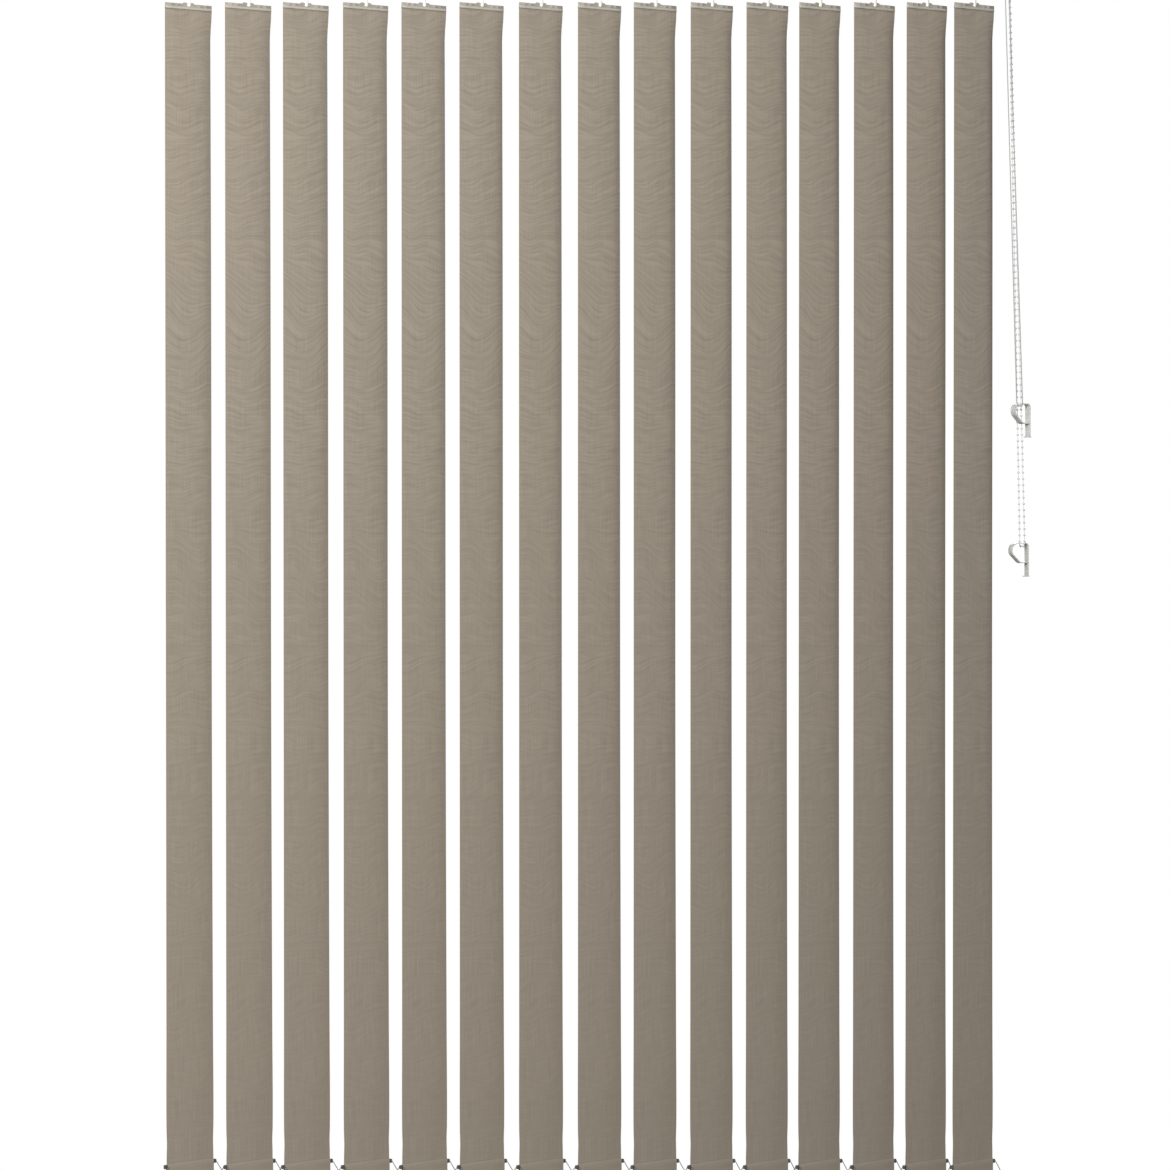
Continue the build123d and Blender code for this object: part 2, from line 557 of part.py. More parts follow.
def chain_clip(side):
    """The clip on one end of the weight, which holds a bead of the bottom chain."""
    with BuildPart() as clip:
        inner = sorted((side * WEIGHT_WIDTH / 2, side * VANE_WIDTH / 2))
        tongue_top = WEIGHT_BOTTOM + WEIGHT_HEIGHT
        box_between(
            (inner[0], -WEIGHT_THICKNESS / 2, tongue_top - 5),
            (inner[1], WEIGHT_THICKNESS / 2, tongue_top),
        )
        outer = sorted((side * VANE_WIDTH / 2, side * CLIP_HALF_WIDTH))
        box_between((outer[0], -1.7, CLIP_TOP - CLIP_HEIGHT), (outer[1], 1.7, CLIP_TOP))
        fillet(clip.edges().filter_by(Axis.Y).group_by(Axis.X)[-1 if side > 0 else 0], 1.2)
    return clip.part


front_clip = chain_clip(-1)
rear_clip = chain_clip(1)
for number in range(VANE_COUNT):
    place = Location((CARRIER_X[number], 0, 0), (0, 0, VANE_ANGLE))
    moving = (tilt_wheel, stem, hanger, fabric, hem, weight)
    pieces = [piece.part for piece in moving] + [front_clip, rear_clip]
    group(f"vane_{number + 1:02d}", [piece.moved(place) for piece in pieces])

# ---------------------------------------------------------------- P-clips
UPPER_RING_HOOK = -21.0  # where the cords pass under the ring's top, from the leg's outer face
LOWER_RING_HOOK = -11.0
SCREW_UP = 12.0  # the screw's hole above the foot


def p_clip(ring_hook, hook, down, yaw):
    """A strip bent into a ring on a leg with a foot; its cords pass under the ring's top."""
    height = P_CLIP_HEIGHT
    middle = P_CLIP_SHEET / 2
    with BuildPart() as clip:
        with BuildSketch(Plane.XZ.offset(-P_CLIP_WIDTH / 2)):
            with BuildLine() as route:
                FilletPolyline(
                    (-middle, -height + 1),
                    (-middle, -middle),
                    (-P_CLIP_RING, -middle),
                    (-P_CLIP_RING, -P_CLIP_RING_HEIGHT + P_CLIP_RING / 2),
                    (-P_CLIP_RING / 2, -P_CLIP_RING_HEIGHT),
                    (-P_CLIP_SHEET - 1.2, -P_CLIP_RING_HEIGHT),
                    radius=[6, 13, 12, 9],
                )
            trace(route.wires()[0], P_CLIP_SHEET)
            with Locations((-P_CLIP_FOOT / 2 + 0.8, -height + 1)):
                Rectangle(P_CLIP_FOOT + 1.6, 2)
        extrude(amount=P_CLIP_WIDTH)
        with BuildSketch(Plane.YZ):
            with Locations((0, -height + SCREW_UP)):
                Circle(P_CLIP_SCREW_HOLE / 2)
        extrude(amount=-P_CLIP_SHEET - 1, mode=Mode.SUBTRACT)
    turned = clip.part.moved(Location((-ring_hook, 0, 0))).moved(Location((0, 0, 0), (0, 0, yaw)))
    return turned.moved(Location((*hook, FABRIC_TOP - down)))


UPPER_HOOK = (LAST_X + UPPER_CLIP_OUT, -UPPER_CLIP_FRONT)
LOWER_HOOK = (LAST_X + LOWER_CLIP_OUT, ROD_OFFSET)
save(p_clip(UPPER_RING_HOOK, UPPER_HOOK, UPPER_CLIP_DOWN, UPPER_CLIP_YAW), "p_clip_upper")
save(p_clip(LOWER_RING_HOOK, LOWER_HOOK, LOWER_CLIP_DOWN, LOWER_CLIP_YAW), "p_clip_lower")


# ---------------------------------------------------------------- cords and chains
def hook_points(centre, yaw, down, diameter):
    """The two corners of a cord that passes under a P-clip's ring: near end, then far end."""
    reach = P_CLIP_WIDTH / 2 + diameter / 2 + HOOK_GAP
    z = FABRIC_TOP - down - P_CLIP_SHEET - diameter / 2 - HOOK_GAP
    across = (-sin(radians(yaw)) * reach, cos(radians(yaw)) * reach)
    near = (centre[0] - across[0], centre[1] - across[1], z)
    far = (centre[0] + across[0], centre[1] + across[1], z)
    return near, far


def run_length(wire):
    """A route's length."""
    return sum(edge.length for edge in wire.edges())


def tube(route, diameter, name):
    """A round tube along a route, with its volume compared with its section times its length."""
    with BuildPart() as swept:
        with BuildSketch(Plane(route @ 0, z_dir=route % 0)):
            Circle(diameter / 2)
        sweep(path=route)
    expected = pi * diameter**2 / 4 * run_length(route)
    print(f"{name}: length {run_length(route):.1f}, volume {swept.part.volume / expected:.5f} of expected")
    return swept.part


near, far = hook_points(UPPER_HOOK, UPPER_CLIP_YAW, UPPER_CLIP_DOWN, CORD_DIAMETER)
KNOT_GAP = 1.5
with BuildLine() as cord_route:
    Line((CARRIER_X[0] - KNOT_GAP, CORD_Y, LOWER_LANE), (IDLER_X, CORD_Y, LOWER_LANE))
    ThreePointArc(
        (IDLER_X, CORD_Y, LOWER_LANE),
        (IDLER_X - IDLER_RADIUS, CORD_Y, IDLER_Z),
        (IDLER_X, CORD_Y, UPPER_LANE),
    )
    FilletPolyline(
        (IDLER_X, CORD_Y, UPPER_LANE),
        (OUTER_DROP_X, CORD_Y, UPPER_LANE),
        near,
        far,
        (INNER_DROP_X, CORD_Y, LOWER_LANE),
        (CARRIER_X[0] + KNOT_GAP, CORD_Y, LOWER_LANE),
        radius=[DROP_PULLEY_RADIUS, 2.4, 2.4, DROP_PULLEY_RADIUS],
    )
save(tube(cord_route.wires()[0], CORD_DIAMETER, "draw cord"), "draw_cord")

near, far = hook_points(LOWER_HOOK, LOWER_CLIP_YAW, LOWER_CLIP_DOWN, BEAD_DIAMETER)
CHAIN_EXIT = HOUSING_BOTTOM - 20
with BuildLine() as chain_strands:
    FilletPolyline(
        (CHAIN_X, CHAIN_FRONT_Y, ROD_Z),
        (CHAIN_X, CHAIN_FRONT_Y, CHAIN_EXIT),
        near,
        far,
        (CHAIN_X, CHAIN_BACK_Y, CHAIN_EXIT),
        (CHAIN_X, CHAIN_BACK_Y, ROD_Z),
        radius=[600, 4, 4, 600],
    )
with BuildLine() as chain_turn:
    ThreePointArc(
        (CHAIN_X, CHAIN_FRONT_Y, ROD_Z),
        (CHAIN_X, ROD_OFFSET, ROD_Z + CHAIN_PITCH_RADIUS),
        (CHAIN_X, CHAIN_BACK_Y, ROD_Z),
    )
strands = tube(chain_strands.wires()[0], BEAD_DIAMETER, "bead chain strands")
turn_over_wheel = tube(chain_turn.wires()[0], BEAD_DIAMETER, "bead chain on its wheel")
group("tilt_chain", [strands, turn_over_wheel])


def hang(points, name):
    """A tube through hand-placed points, each corner as round as its shorter run allows."""
    corners = [Vector(*p) for p in points]
    radii = []
    for before, here, after in zip(corners, corners[1:], corners[2:]):
        shorter = min((here - before).length, (after - here).length)
        half_turn = (here - before).get_angle(after - here) / 2
        radii.append(0.45 * shorter / tan(radians(half_turn)))
    print(name, "radii", [round(r, 1) for r in radii])
    with BuildLine() as route:
        FilletPolyline(*points, radius=radii)
    return tube(route.wires()[0], HEM_CHAIN_DIAMETER, name)


def hem_chain(side, name):
    """The chain along one edge of the hems: one sagging length between each vane and the next."""
    reach = side * (CLIP_HALF_WIDTH - CLIP_REACH / 2)
    dx = reach * cos(radians(VANE_ANGLE))
    y = reach * sin(radians(VANE_ANGLE))
    low = CLIP_Z - HEM_CHAIN_SAG
    mid = CLIP_Z - 0.58 * HEM_CHAIN_SAG
    lengths = []
    for number, gap in enumerate(CARRIER_GAPS):
        start = CARRIER_X[number] + dx
        points = [
            (start + CHAIN_INSET, y, CLIP_Z),
            (start + 0.17 * gap, y, mid),
            (start + 0.36 * gap, y, low),
            (start + 0.64 * gap, y, low),
            (start + 0.83 * gap, y, mid),
            (start + gap - CHAIN_INSET, y, CLIP_Z),
        ]
        lengths.append(hang(points, f"{name} {number + 1}"))
    return lengths


def chain_tail():
    """The rear chain's free end, past the last vane."""
    reach = CLIP_HALF_WIDTH - CLIP_REACH / 2
    start = LAST_X + reach * cos(radians(VANE_ANGLE))
    y = reach * sin(radians(VANE_ANGLE))
    points = [
        (start + CHAIN_INSET, y, CLIP_Z),
        (start + 16, y, CLIP_Z - 19),
        (start + 23, y, CLIP_Z - HEM_CHAIN_SAG),
    ]
    return hang(points, "rear chain tail")


group("bottom_chain_front", hem_chain(-1, "front chain"))
group("bottom_chain_rear", hem_chain(1, "rear chain") + [chain_tail()])
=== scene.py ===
"""Looks of a vertical blind: cloth vanes on hangers, with their chains and cords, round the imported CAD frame.

Everything is in the CAD frame, in metres: X along the headrail towards the control end, +Y away
from the room, +Z up, and the origin at the middle bracket screw on the ceiling. Sizes in the
dataclasses are in millimetres, as a blind maker writes them, and are turned to metres as they are used.
"""

import logging
import math
from dataclasses import dataclass
from enum import Enum
from typing import Any, Callable, Iterable, Sequence

import bmesh
import bpy
import numpy as np
from mathutils import Matrix, Vector


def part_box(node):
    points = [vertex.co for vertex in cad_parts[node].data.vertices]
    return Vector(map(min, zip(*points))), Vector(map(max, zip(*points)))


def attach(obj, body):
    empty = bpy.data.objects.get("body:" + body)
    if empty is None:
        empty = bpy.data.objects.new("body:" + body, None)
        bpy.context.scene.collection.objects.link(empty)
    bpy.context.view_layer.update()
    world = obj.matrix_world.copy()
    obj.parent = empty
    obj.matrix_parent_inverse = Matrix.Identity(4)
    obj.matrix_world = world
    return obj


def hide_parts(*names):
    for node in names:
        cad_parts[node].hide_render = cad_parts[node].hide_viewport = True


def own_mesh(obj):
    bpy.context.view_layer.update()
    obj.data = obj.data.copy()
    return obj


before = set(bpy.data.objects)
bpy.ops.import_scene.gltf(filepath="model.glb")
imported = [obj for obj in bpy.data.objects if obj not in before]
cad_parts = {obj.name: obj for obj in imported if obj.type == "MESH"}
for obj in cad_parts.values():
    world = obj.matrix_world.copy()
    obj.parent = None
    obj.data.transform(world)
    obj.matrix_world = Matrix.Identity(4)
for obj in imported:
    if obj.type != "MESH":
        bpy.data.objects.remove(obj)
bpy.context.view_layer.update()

MM = 0.001
VANE_ANGLE = math.radians(49.5)
VANE_NUMBERS = range(1, 16)
WAVES_PER_UNIT = 0.31  # scales a wave texture so that one band fills a unit of length
Test = Callable[[Vector, Vector], bool]
Tree, Shader, Socket = bpy.types.NodeTree, bpy.types.Node, bpy.types.NodeSocket
log = logging.getLogger("vertical_blind")


# ---------------------------------------------------------------- bench
class Pick(Enum):
    """What an edit-mode selection is made of."""

    VERTS = "VERT"
    EDGES = "EDGE"
    FACES = "FACE"


def place_of(part: Any) -> tuple[Vector, Vector]:
    """Where a vertex, edge or face is, and which way it points.

    Args:
        part: a bmesh vertex, edge or face.

    Returns:
        Its place and its normal, or an edge's direction, in the piece's own units of metres.
    """
    if isinstance(part, bmesh.types.BMVert):
        return part.co, part.normal
    if isinstance(part, bmesh.types.BMEdge):
        first, second = part.verts
        return (first.co + second.co) / 2, (second.co - first.co).normalized()
    return part.calc_center_median(), part.normal


def deselect_all() -> None:
    """Leave edit mode and deselect every object, because the CAD nodes start selected."""
    if bpy.context.object is not None and bpy.context.object.mode != "OBJECT":
        bpy.ops.object.mode_set(mode="OBJECT")
    bpy.ops.object.select_all(action="DESELECT")


class Workpiece:
    """A mesh on the bench: it starts as a primitive, is shaped in edit mode and finished with modifiers.

    Sizes and places are given in millimetres.
    """

    def __init__(self, name: str, primitive: Callable[..., Any], **settings: Any) -> None:
        """Add the primitive.

        Args:
            name: the piece's name.
            primitive: an operator of bpy.ops.mesh that adds a primitive.
            settings: the operator's settings; lengths and places are in millimetres.
        """
        deselect_all()
        for key in ("size", "radius", "depth"):
            if key in settings:
                settings[key] *= MM
        if "location" in settings:
            settings["location"] = Vector(settings["location"]) * MM
        primitive(**settings)
        self.obj = bpy.context.object
        self.obj.name = self.obj.data.name = name
        bpy.ops.object.transform_apply(location=True, rotation=True, scale=True)

    def make_active(self) -> None:
        """Make this the only selected object, in object mode."""
        deselect_all()
        self.obj.select_set(True)
        bpy.context.view_layer.objects.active = self.obj

    def pick(self, what: Pick, test: Test) -> "Workpiece":
        """Select parts of the mesh by their place and normal.

        Args:
            what: vertices, edges or faces.
            test: says of a place in millimetres and a normal whether it is selected.

        Returns:
            The piece, in edit mode.
        """
        if self.obj.mode != "EDIT":
            self.make_active()
            bpy.ops.object.mode_set(mode="EDIT")
        bpy.ops.mesh.select_mode(type=what.value)
        bpy.ops.mesh.select_all(action="DESELECT")
        mesh = bmesh.from_edit_mesh(self.obj.data)
        mesh.normal_update()
        parts = {Pick.VERTS: mesh.verts, Pick.EDGES: mesh.edges, Pick.FACES: mesh.faces}[what]
        for part in parts:
            place, normal = place_of(part)
            part.select_set(bool(test(place / MM, normal)))
        mesh.select_flush_mode()
        bmesh.update_edit_mesh(self.obj.data)
        return self

    def all(self, what: Pick = Pick.FACES) -> "Workpiece":
        """Select the whole mesh."""
        return self.pick(what, lambda place, normal: True)

    def cut(self, place: Sequence[float], normal: Sequence[float]) -> "Workpiece":
        """Score the whole mesh along a plane, so that there are edges to shape it by."""
        self.all()
        bpy.ops.mesh.bisect(plane_co=Vector(place) * MM, plane_no=Vector(normal))
        return self

    def extrude(self, move: Sequence[float]) -> "Workpiece":
        """Extrude the selected faces as one region and move them, in millimetres."""
        bpy.ops.mesh.extrude_region_move(TRANSFORM_OT_translate={"value": Vector(move) * MM})
        return self

    def inset(self, thickness: float, depth: float = 0.0) -> "Workpiece":
        """Inset the selected faces, in millimetres."""
        bpy.ops.mesh.inset(thickness=thickness * MM, depth=depth * MM)
        return self

    def move(self, by: Sequence[float]) -> "Workpiece":
        """Move what is selected, in millimetres."""
        bpy.ops.transform.translate(value=Vector(by) * MM)
        return self

    def stretch(self, by: Sequence[float], centre: Sequence[float] = (0, 0, 0)) -> "Workpiece":
        """Scale what is selected about a point given in millimetres."""
        bpy.ops.transform.resize(value=by, center_override=Vector(centre) * MM)
        return self

    def open_through(self, test: Test) -> "Workpiece":
        """Open a hole between two facing groups of faces.

        Args:
            test: picks the faces at both ends of the hole.

        Returns:
            The piece, with walls bridged between the two ends.
        """
        self.pick(Pick.FACES, test)
        bpy.ops.mesh.delete(type="FACE")
        self.select_open_edges()
        bpy.ops.mesh.bridge_edge_loops()
        return self

    def modify(self, kind: str, **settings: Any) -> "Workpiece":
        """Add a modifier and apply it.

        Args:
            kind: the modifier's type.
            settings: its settings, in Blender's own units.

        Returns:
            The piece, in object mode.
        """
        self.make_active()
        made = self.obj.modifiers.new(kind.title(), kind)
        for key, value in settings.items():
            setattr(made, key, value)
        bpy.ops.object.modifier_apply(modifier=made.name)
        return self

    def ease_edges(self, width: float, over: float = 30.0) -> "Workpiece":
        """Round the edges that a mould would leave rounded, in millimetres and degrees."""
        limit = math.radians(over)
        return self.modify("BEVEL", width=width * MM, segments=2, limit_method="ANGLE", angle_limit=limit)

    def cut_at(self, axis: int, *places: float) -> None:
        """Cut across one axis, 0 to 2 for X to Z, at each place in millimetres."""
        normal = [float(index == axis) for index in range(3)]
        for place in places:
            self.cut([place * part for part in normal], normal)

    def select_open_edges(self) -> None:
        """Select the edges round the mesh's openings, in edit mode."""
        bpy.ops.mesh.select_mode(type="EDGE")
        bpy.ops.mesh.select_all(action="DESELECT")
        bpy.ops.mesh.select_non_manifold()

    def close_up(self, smooth: float = 32.0) -> bpy.types.Object:
        """Merge doubles, turn the faces outwards and smooth the gentle edges.

        Args:
            smooth: edges flatter than this many degrees are shaded smooth.

        Returns:
            The finished object.
        """
        self.all()
        bpy.ops.mesh.remove_doubles(threshold=0.004 * MM)
        bpy.ops.mesh.normals_make_consistent(inside=False)
        bpy.ops.object.mode_set(mode="OBJECT")
        bpy.ops.object.shade_smooth_by_angle(angle=math.radians(smooth))
        return self.obj


def joined(name: str, pieces: Sequence[bpy.types.Object]) -> bpy.types.Object:
    """Join separate meshes into one piece.

    Args:
        name: the joined piece's name.
        pieces: the meshes; the first one takes in the others.

    Returns:
        The joined piece.
    """
    deselect_all()
    for piece in pieces:
        piece.select_set(True)
    bpy.context.view_layer.objects.active = pieces[0]
    bpy.ops.object.join()
    pieces[0].name = pieces[0].data.name = name
    return pieces[0]


def copy_at(pattern: bpy.types.Object, name: str, place: Matrix) -> bpy.types.Object:
    """A copy of a piece with its own mesh, moved in its mesh.

    Args:
        pattern: the piece that is copied.
        name: the copy's name.
        place: where the copy goes.

    Returns:
        The copy.
    """
    copy = pattern.copy()
    copy.data = pattern.data.copy()
    copy.name = copy.data.name = name
    copy.data.transform(place)
    bpy.context.scene.collection.objects.link(copy)
    return copy


def discard(*pieces: bpy.types.Object) -> None:
    """Take patterns off the bench once they are copied."""
    for piece in pieces:
        bpy.data.objects.remove(piece)


def install(
    piece: bpy.types.Object, material: bpy.types.Material, body: str, replaces: Iterable[str] = ()
) -> None:
    """Dress a finished piece and fix it to the CAD body it moves with.

    Args:
        piece: the finished piece.
        material: its finish.
        body: the CAD body it rides on.
        replaces: the CAD nodes it stands for.
    """
    piece.data.materials.clear()
    piece.data.materials.append(material)
    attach(piece, body)
    for node in replaces:
        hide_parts(node)
    log.info("%s on %s", piece.name, body)


# ---------------------------------------------------------------- materials
def srgb(code: str) -> tuple[float, float, float, float]:
    """A hex colour such as #8A8074 as linear red, green, blue and alpha."""
    shares = [int(code[i : i + 2], 16) / 255 for i in (1, 3, 5)]
    linear = [s / 12.92 if s <= 0.04045 else ((s + 0.055) / 1.055) ** 2.4 for s in shares]
    return (*linear, 1.0)


def add_node(tree: Tree, kind: str, inputs: dict | None = None, **settings: Any) -> bpy.types.Node:
    """Add a node with its settings and links.

    Args:
        tree: the material's node tree.
        kind: the node's type.
        inputs: for each input, by name or number, a value or the output socket that feeds it.
        settings: the node's own properties.

    Returns:
        The node.
    """
    made = tree.nodes.new(kind)
    for key, value in settings.items():
        setattr(made, key, value)
    for key, value in (inputs or {}).items():
        if isinstance(value, Socket):
            tree.links.new(value, made.inputs[key])
        else:
            made.inputs[key].default_value = value
    return made


def maths(tree: Tree, operation: str, *values: Any) -> Socket:
    """A maths node's result, from values or the sockets that feed it."""
    return add_node(tree, "ShaderNodeMath", dict(enumerate(values)), operation=operation).outputs[0]


def mapped(tree: Tree, vector: Socket, scale: Sequence[float], turn: float = 0.0) -> Socket:
    """Coordinates scaled along each axis, then turned about Z by an angle in radians."""
    inputs = {"Vector": vector, "Scale": scale, "Rotation": (0.0, 0.0, turn)}
    return add_node(tree, "ShaderNodeMapping", inputs).outputs[0]


def noise(tree: Tree, vector: Socket, detail: float, **inputs: float) -> Socket:
    """Noise at the coordinates' own scale, with that many finer layers."""
    inputs = {"Vector": vector, "Scale": 1.0, "Detail": detail, **inputs}
    return add_node(tree, "ShaderNodeTexNoise", inputs).outputs["Fac"]


def mixed(tree: Tree, fac: Socket, first: Any, second: Any) -> Socket:
    """A colour between two others."""
    inputs = {0: fac, 6: first, 7: second}
    return add_node(tree, "ShaderNodeMix", inputs, data_type="RGBA", clamp_factor=True).outputs[2]


def spread(
    tree: Tree, value: Socket, low: float = 0.3, high: float = 0.7, to: Sequence[float] = (0, 1)
) -> Socket:
    """A narrow band of a value, spread over a range."""
    inputs = {"Value": value, "From Min": low, "From Max": high, "To Min": to[0], "To Max": to[1]}
    return add_node(tree, "ShaderNodeMapRange", inputs).outputs["Result"]


@dataclass(frozen=True)
class Finish:
    """A finish: what a surface is made of and how it was made."""

    name: str
    colour: str
    roughness: float
    ior: float = 1.5

    def material(self) -> bpy.types.Material:
        """The Blender material, made once and shared by every piece with this finish."""
        found = bpy.data.materials.get(self.name)
        if found is not None:
            return found
        made = bpy.data.materials.new(self.name)
        made.use_nodes = True
        made.node_tree.nodes.clear()
        tree = made.node_tree
        inputs = {"Base Color": srgb(self.colour), "Roughness": self.roughness, "IOR": self.ior}
        shader = add_node(tree, "ShaderNodeBsdfPrincipled", inputs)
        add_node(tree, "ShaderNodeOutputMaterial", {"Surface": shader.outputs["BSDF"]})
        self.pattern(tree, shader)
        return made

    def pattern(self, tree: Tree, shader: Shader) -> None:
        """Add the surface's own pattern; each kind of finish has its own."""

    def grain(self, tree: Tree, grain_mm: Sequence[float], detail: float = 3.0) -> Socket:
        """Noise on object coordinates.

        Args:
            tree: the material's node tree.
            grain_mm: the grain's size along X, Y and Z.
            detail: how many finer layers it has.

        Returns:
            The noise, from 0 to 1.
        """
        place = add_node(tree, "ShaderNodeTexCoord").outputs["Object"]
        scaled = mapped(tree, place, [1 / (size * MM) for size in grain_mm])
        return noise(tree, scaled, detail, Roughness=0.55)

    def shade(self, tree: Tree, shader: Shader, fac: Socket, dark: str, light: str) -> None:
        """Vary the base colour between two shades."""
        tree.links.new(mixed(tree, fac, srgb(dark), srgb(light)), shader.inputs["Base Color"])

    def relief(self, tree: Tree, shader: Shader, height: Socket, depth_mm: float, strength: float) -> None:
        """Raise and lower the surface by a value from 0 to 1."""
        inputs = {"Height": height, "Distance": depth_mm * MM, "Strength": strength}
        bump = add_node(tree, "ShaderNodeBump", inputs)
        tree.links.new(bump.outputs["Normal"], shader.inputs["Normal"])


@dataclass(frozen=True)
class WovenVaneCloth(Finish):
    """Slub polyester weave, starched stiff: matt, taupe, with faint uneven weft threads across the vane."""

    dark: str = "#7E766B"
    light: str = "#A2998C"
    width_mm: float = 127.0
    cut_mm: float = 2278.0
    wander_mm: tuple[float, float] = (150.0, 210.0)  # the stretches over which the wefts wander
    wander_reach_mm: float = 34.0
    slub_length_mm: float = 62.0
    slub_mm: float = 8.0
    warp_mm: tuple[float, float] = (2.6, 70.0)
    thread_mm: float = 1.6
    turn_up_mm: float = 38.0
    weld_mm: float = 37.0  # above the hem
    weld_half_mm: float = 0.9
    # the band of painted shadow under the hanger's lip, down from the cloth's top
    lip_shadow_mm: tuple[float, float] = (4.4, 6.6)  # below the cloth's top

    def pattern(self, tree: Tree, shader: Shader) -> None:
        """Weft slubs that wander up and down, a fine plain weave, the weld at the pocket, and a painted shadow
        below the hanger's lip.
        """
        uv = add_node(tree, "ShaderNodeUVMap", uv_map="UVMap").outputs["UV"]
        cloth = mapped(tree, uv, (self.width_mm, self.cut_mm, 1.0))
        # the wefts wander up and down across the vane
        across, down = self.wander_mm
        wander = noise(tree, mapped(tree, cloth, (1 / across, 1 / down, 1.0)), 1.0)
        lifted = spread(tree, wander, 0.2, 0.8, (-self.wander_reach_mm, self.wander_reach_mm))
        shift = add_node(tree, "ShaderNodeCombineXYZ", {"Y": lifted}).outputs[0]
        woven = add_node(tree, "ShaderNodeVectorMath", {0: cloth, 1: shift}, operation="ADD").outputs[0]
        # slubs: thick places in the weft
        long_slub = mapped(tree, woven, (1 / self.slub_length_mm, 1 / self.slub_mm * 1.7, 1.0))
        slubs = noise(tree, long_slub, 1.6, Roughness=0.5, Distortion=0.25)
        # warp: fine upright streaks, much fainter
        across, down = self.warp_mm
        warp = noise(tree, mapped(tree, cloth, (1 / across, 1 / down, 1.0)), 2.0)
        # the slubs are plainer over the upper half of the vane
        along = add_node(tree, "ShaderNodeSeparateXYZ", {"Vector": uv}).outputs["Y"]
        plain = spread(tree, along, 0.12, 0.75, (0.35, 1.0))
        slub_share = maths(tree, "MULTIPLY", spread(tree, slubs, to=(-0.5, 0.5)), plain)
        tone = maths(tree, "MULTIPLY_ADD", slub_share, 0.42, spread(tree, warp, to=(0.38, 0.62)))
        # plain weave, drawn coarser than its 0.6 mm threads so that it shows close up
        wave = {"Vector": woven, "Scale": 1 / self.thread_mm * WAVES_PER_UNIT, "Distortion": 0.4}
        threads = [add_node(tree, "ShaderNodeTexWave", wave, bands_direction=axis) for axis in "XY"]
        weave = maths(tree, "MULTIPLY", *(thread.outputs["Fac"] for thread in threads))
        # painted shadow under the hanger's lip: a darker band across the cloth just below it
        upper, lower = self.lip_shadow_mm
        lip_shadow = spread(tree, along, 1 - lower / self.cut_mm, 1 - upper / self.cut_mm, (1.0, 0.78))
        # the weld that closes the weight's pocket
        weld_at = 1 - (self.cut_mm - self.turn_up_mm - self.weld_mm) / self.cut_mm
        on_weld = maths(tree, "COMPARE", along, weld_at, self.weld_half_mm / self.cut_mm)
        marked = maths(tree, "MULTIPLY", maths(tree, "MULTIPLY_ADD", on_weld, -0.16, 1.0), lip_shadow)
        toned = mixed(tree, tone, srgb(self.dark), srgb(self.light))
        welded_and_shaded = add_node(tree, "ShaderNodeVectorMath", {0: toned, "Scale": marked}, operation="SCALE")
        tree.links.new(welded_and_shaded.outputs[0], shader.inputs["Base Color"])
        height = maths(tree, "MULTIPLY_ADD", slub_share, 2.2, weave)
        self.relief(tree, shader, height, depth_mm=0.12, strength=0.5)
        shader.inputs["Sheen Weight"].default_value = 0.12
        shader.inputs["Sheen Roughness"].default_value = 0.5
        shader.inputs["Specular IOR Level"].default_value = 0.25


@dataclass(frozen=True)
class MouldedPlastic(Finish):
    """Injection-moulded plastic: even, with the mould's faint spark grain and slight sink in the colour."""

    dark: str = "#D9D8D3"
    grain_mm: float = 0.9
    drift_mm: float = 38.0
    see_through: float = 0.0
    milky_mm: float = 0.0

    def pattern(self, tree: Tree, shader: Shader) -> None:
        """Spark grain in the relief and a slow drift of the colour."""
        grain = self.grain(tree, [self.grain_mm] * 3)
        drift = self.grain(tree, [self.drift_mm] * 3, detail=1.0)
        self.shade(tree, shader, spread(tree, drift), self.dark, self.colour)
        self.relief(tree, shader, grain, depth_mm=0.03, strength=0.6)
        if self.see_through > 0:
            shader.inputs["Transmission Weight"].default_value = self.see_through
        if self.milky_mm > 0:
            shader.inputs["Subsurface Weight"].default_value = 0.85
            shader.inputs["Subsurface Radius"].default_value = (1.0, 1.0, 1.0)
            shader.inputs["Subsurface Scale"].default_value = self.milky_mm * MM


@dataclass(frozen=True)
class HangerPlastic(MouldedPlastic):
    """Milky moulded plastic with a painted highlight: paler in the thick lip along its lower edge."""

    # the colour of the painted highlight along the lip
    lip: str = "#BAB6AF"
    lip_top_mm: float = -64.2
    fade_mm: float = 0.8

    def pattern(self, tree: Tree, shader: Shader) -> None:
        """The moulding's own pattern, with the paler painted highlight below the lip's top edge."""
        super().pattern(tree, shader)
        body = shader.inputs["Base Color"].links[0].from_socket
        place = add_node(tree, "ShaderNodeTexCoord").outputs["Object"]
        height = add_node(tree, "ShaderNodeSeparateXYZ", {"Vector": place}).outputs["Z"]
        edge = self.lip_top_mm * MM
        # painted highlight along the lip: paler below its top edge
        lip_highlight = spread(tree, height, edge, edge + self.fade_mm * MM, (1.0, 0.0))
        tree.links.new(mixed(tree, lip_highlight, body, srgb(self.lip)), shader.inputs["Base Color"])


@dataclass(frozen=True)
class EnamelledAluminium(Finish):
    """Extruded aluminium with stove enamel: glossy white, faint die lines along the rail and orange peel."""

    dark: str = "#DAD9D4"
    die_lines_mm: tuple[float, float, float] = (900.0, 1.4, 1.4)
    peel_mm: float = 1.3

    def pattern(self, tree: Tree, shader: Shader) -> None:
        """Die lines along X and a fine orange peel."""
        lines = self.grain(tree, self.die_lines_mm, detail=2.0)
        peel = self.grain(tree, [self.peel_mm] * 3, detail=1.0)
        self.shade(tree, shader, spread(tree, lines, to=(0.2, 1.0)), self.dark, self.colour)
        height = maths(tree, "MULTIPLY_ADD", lines, 0.6, peel)
        self.relief(tree, shader, height, depth_mm=0.02, strength=0.5)
        shader.inputs["Coat Weight"].default_value = 0.35
        shader.inputs["Coat Roughness"].default_value = 0.12


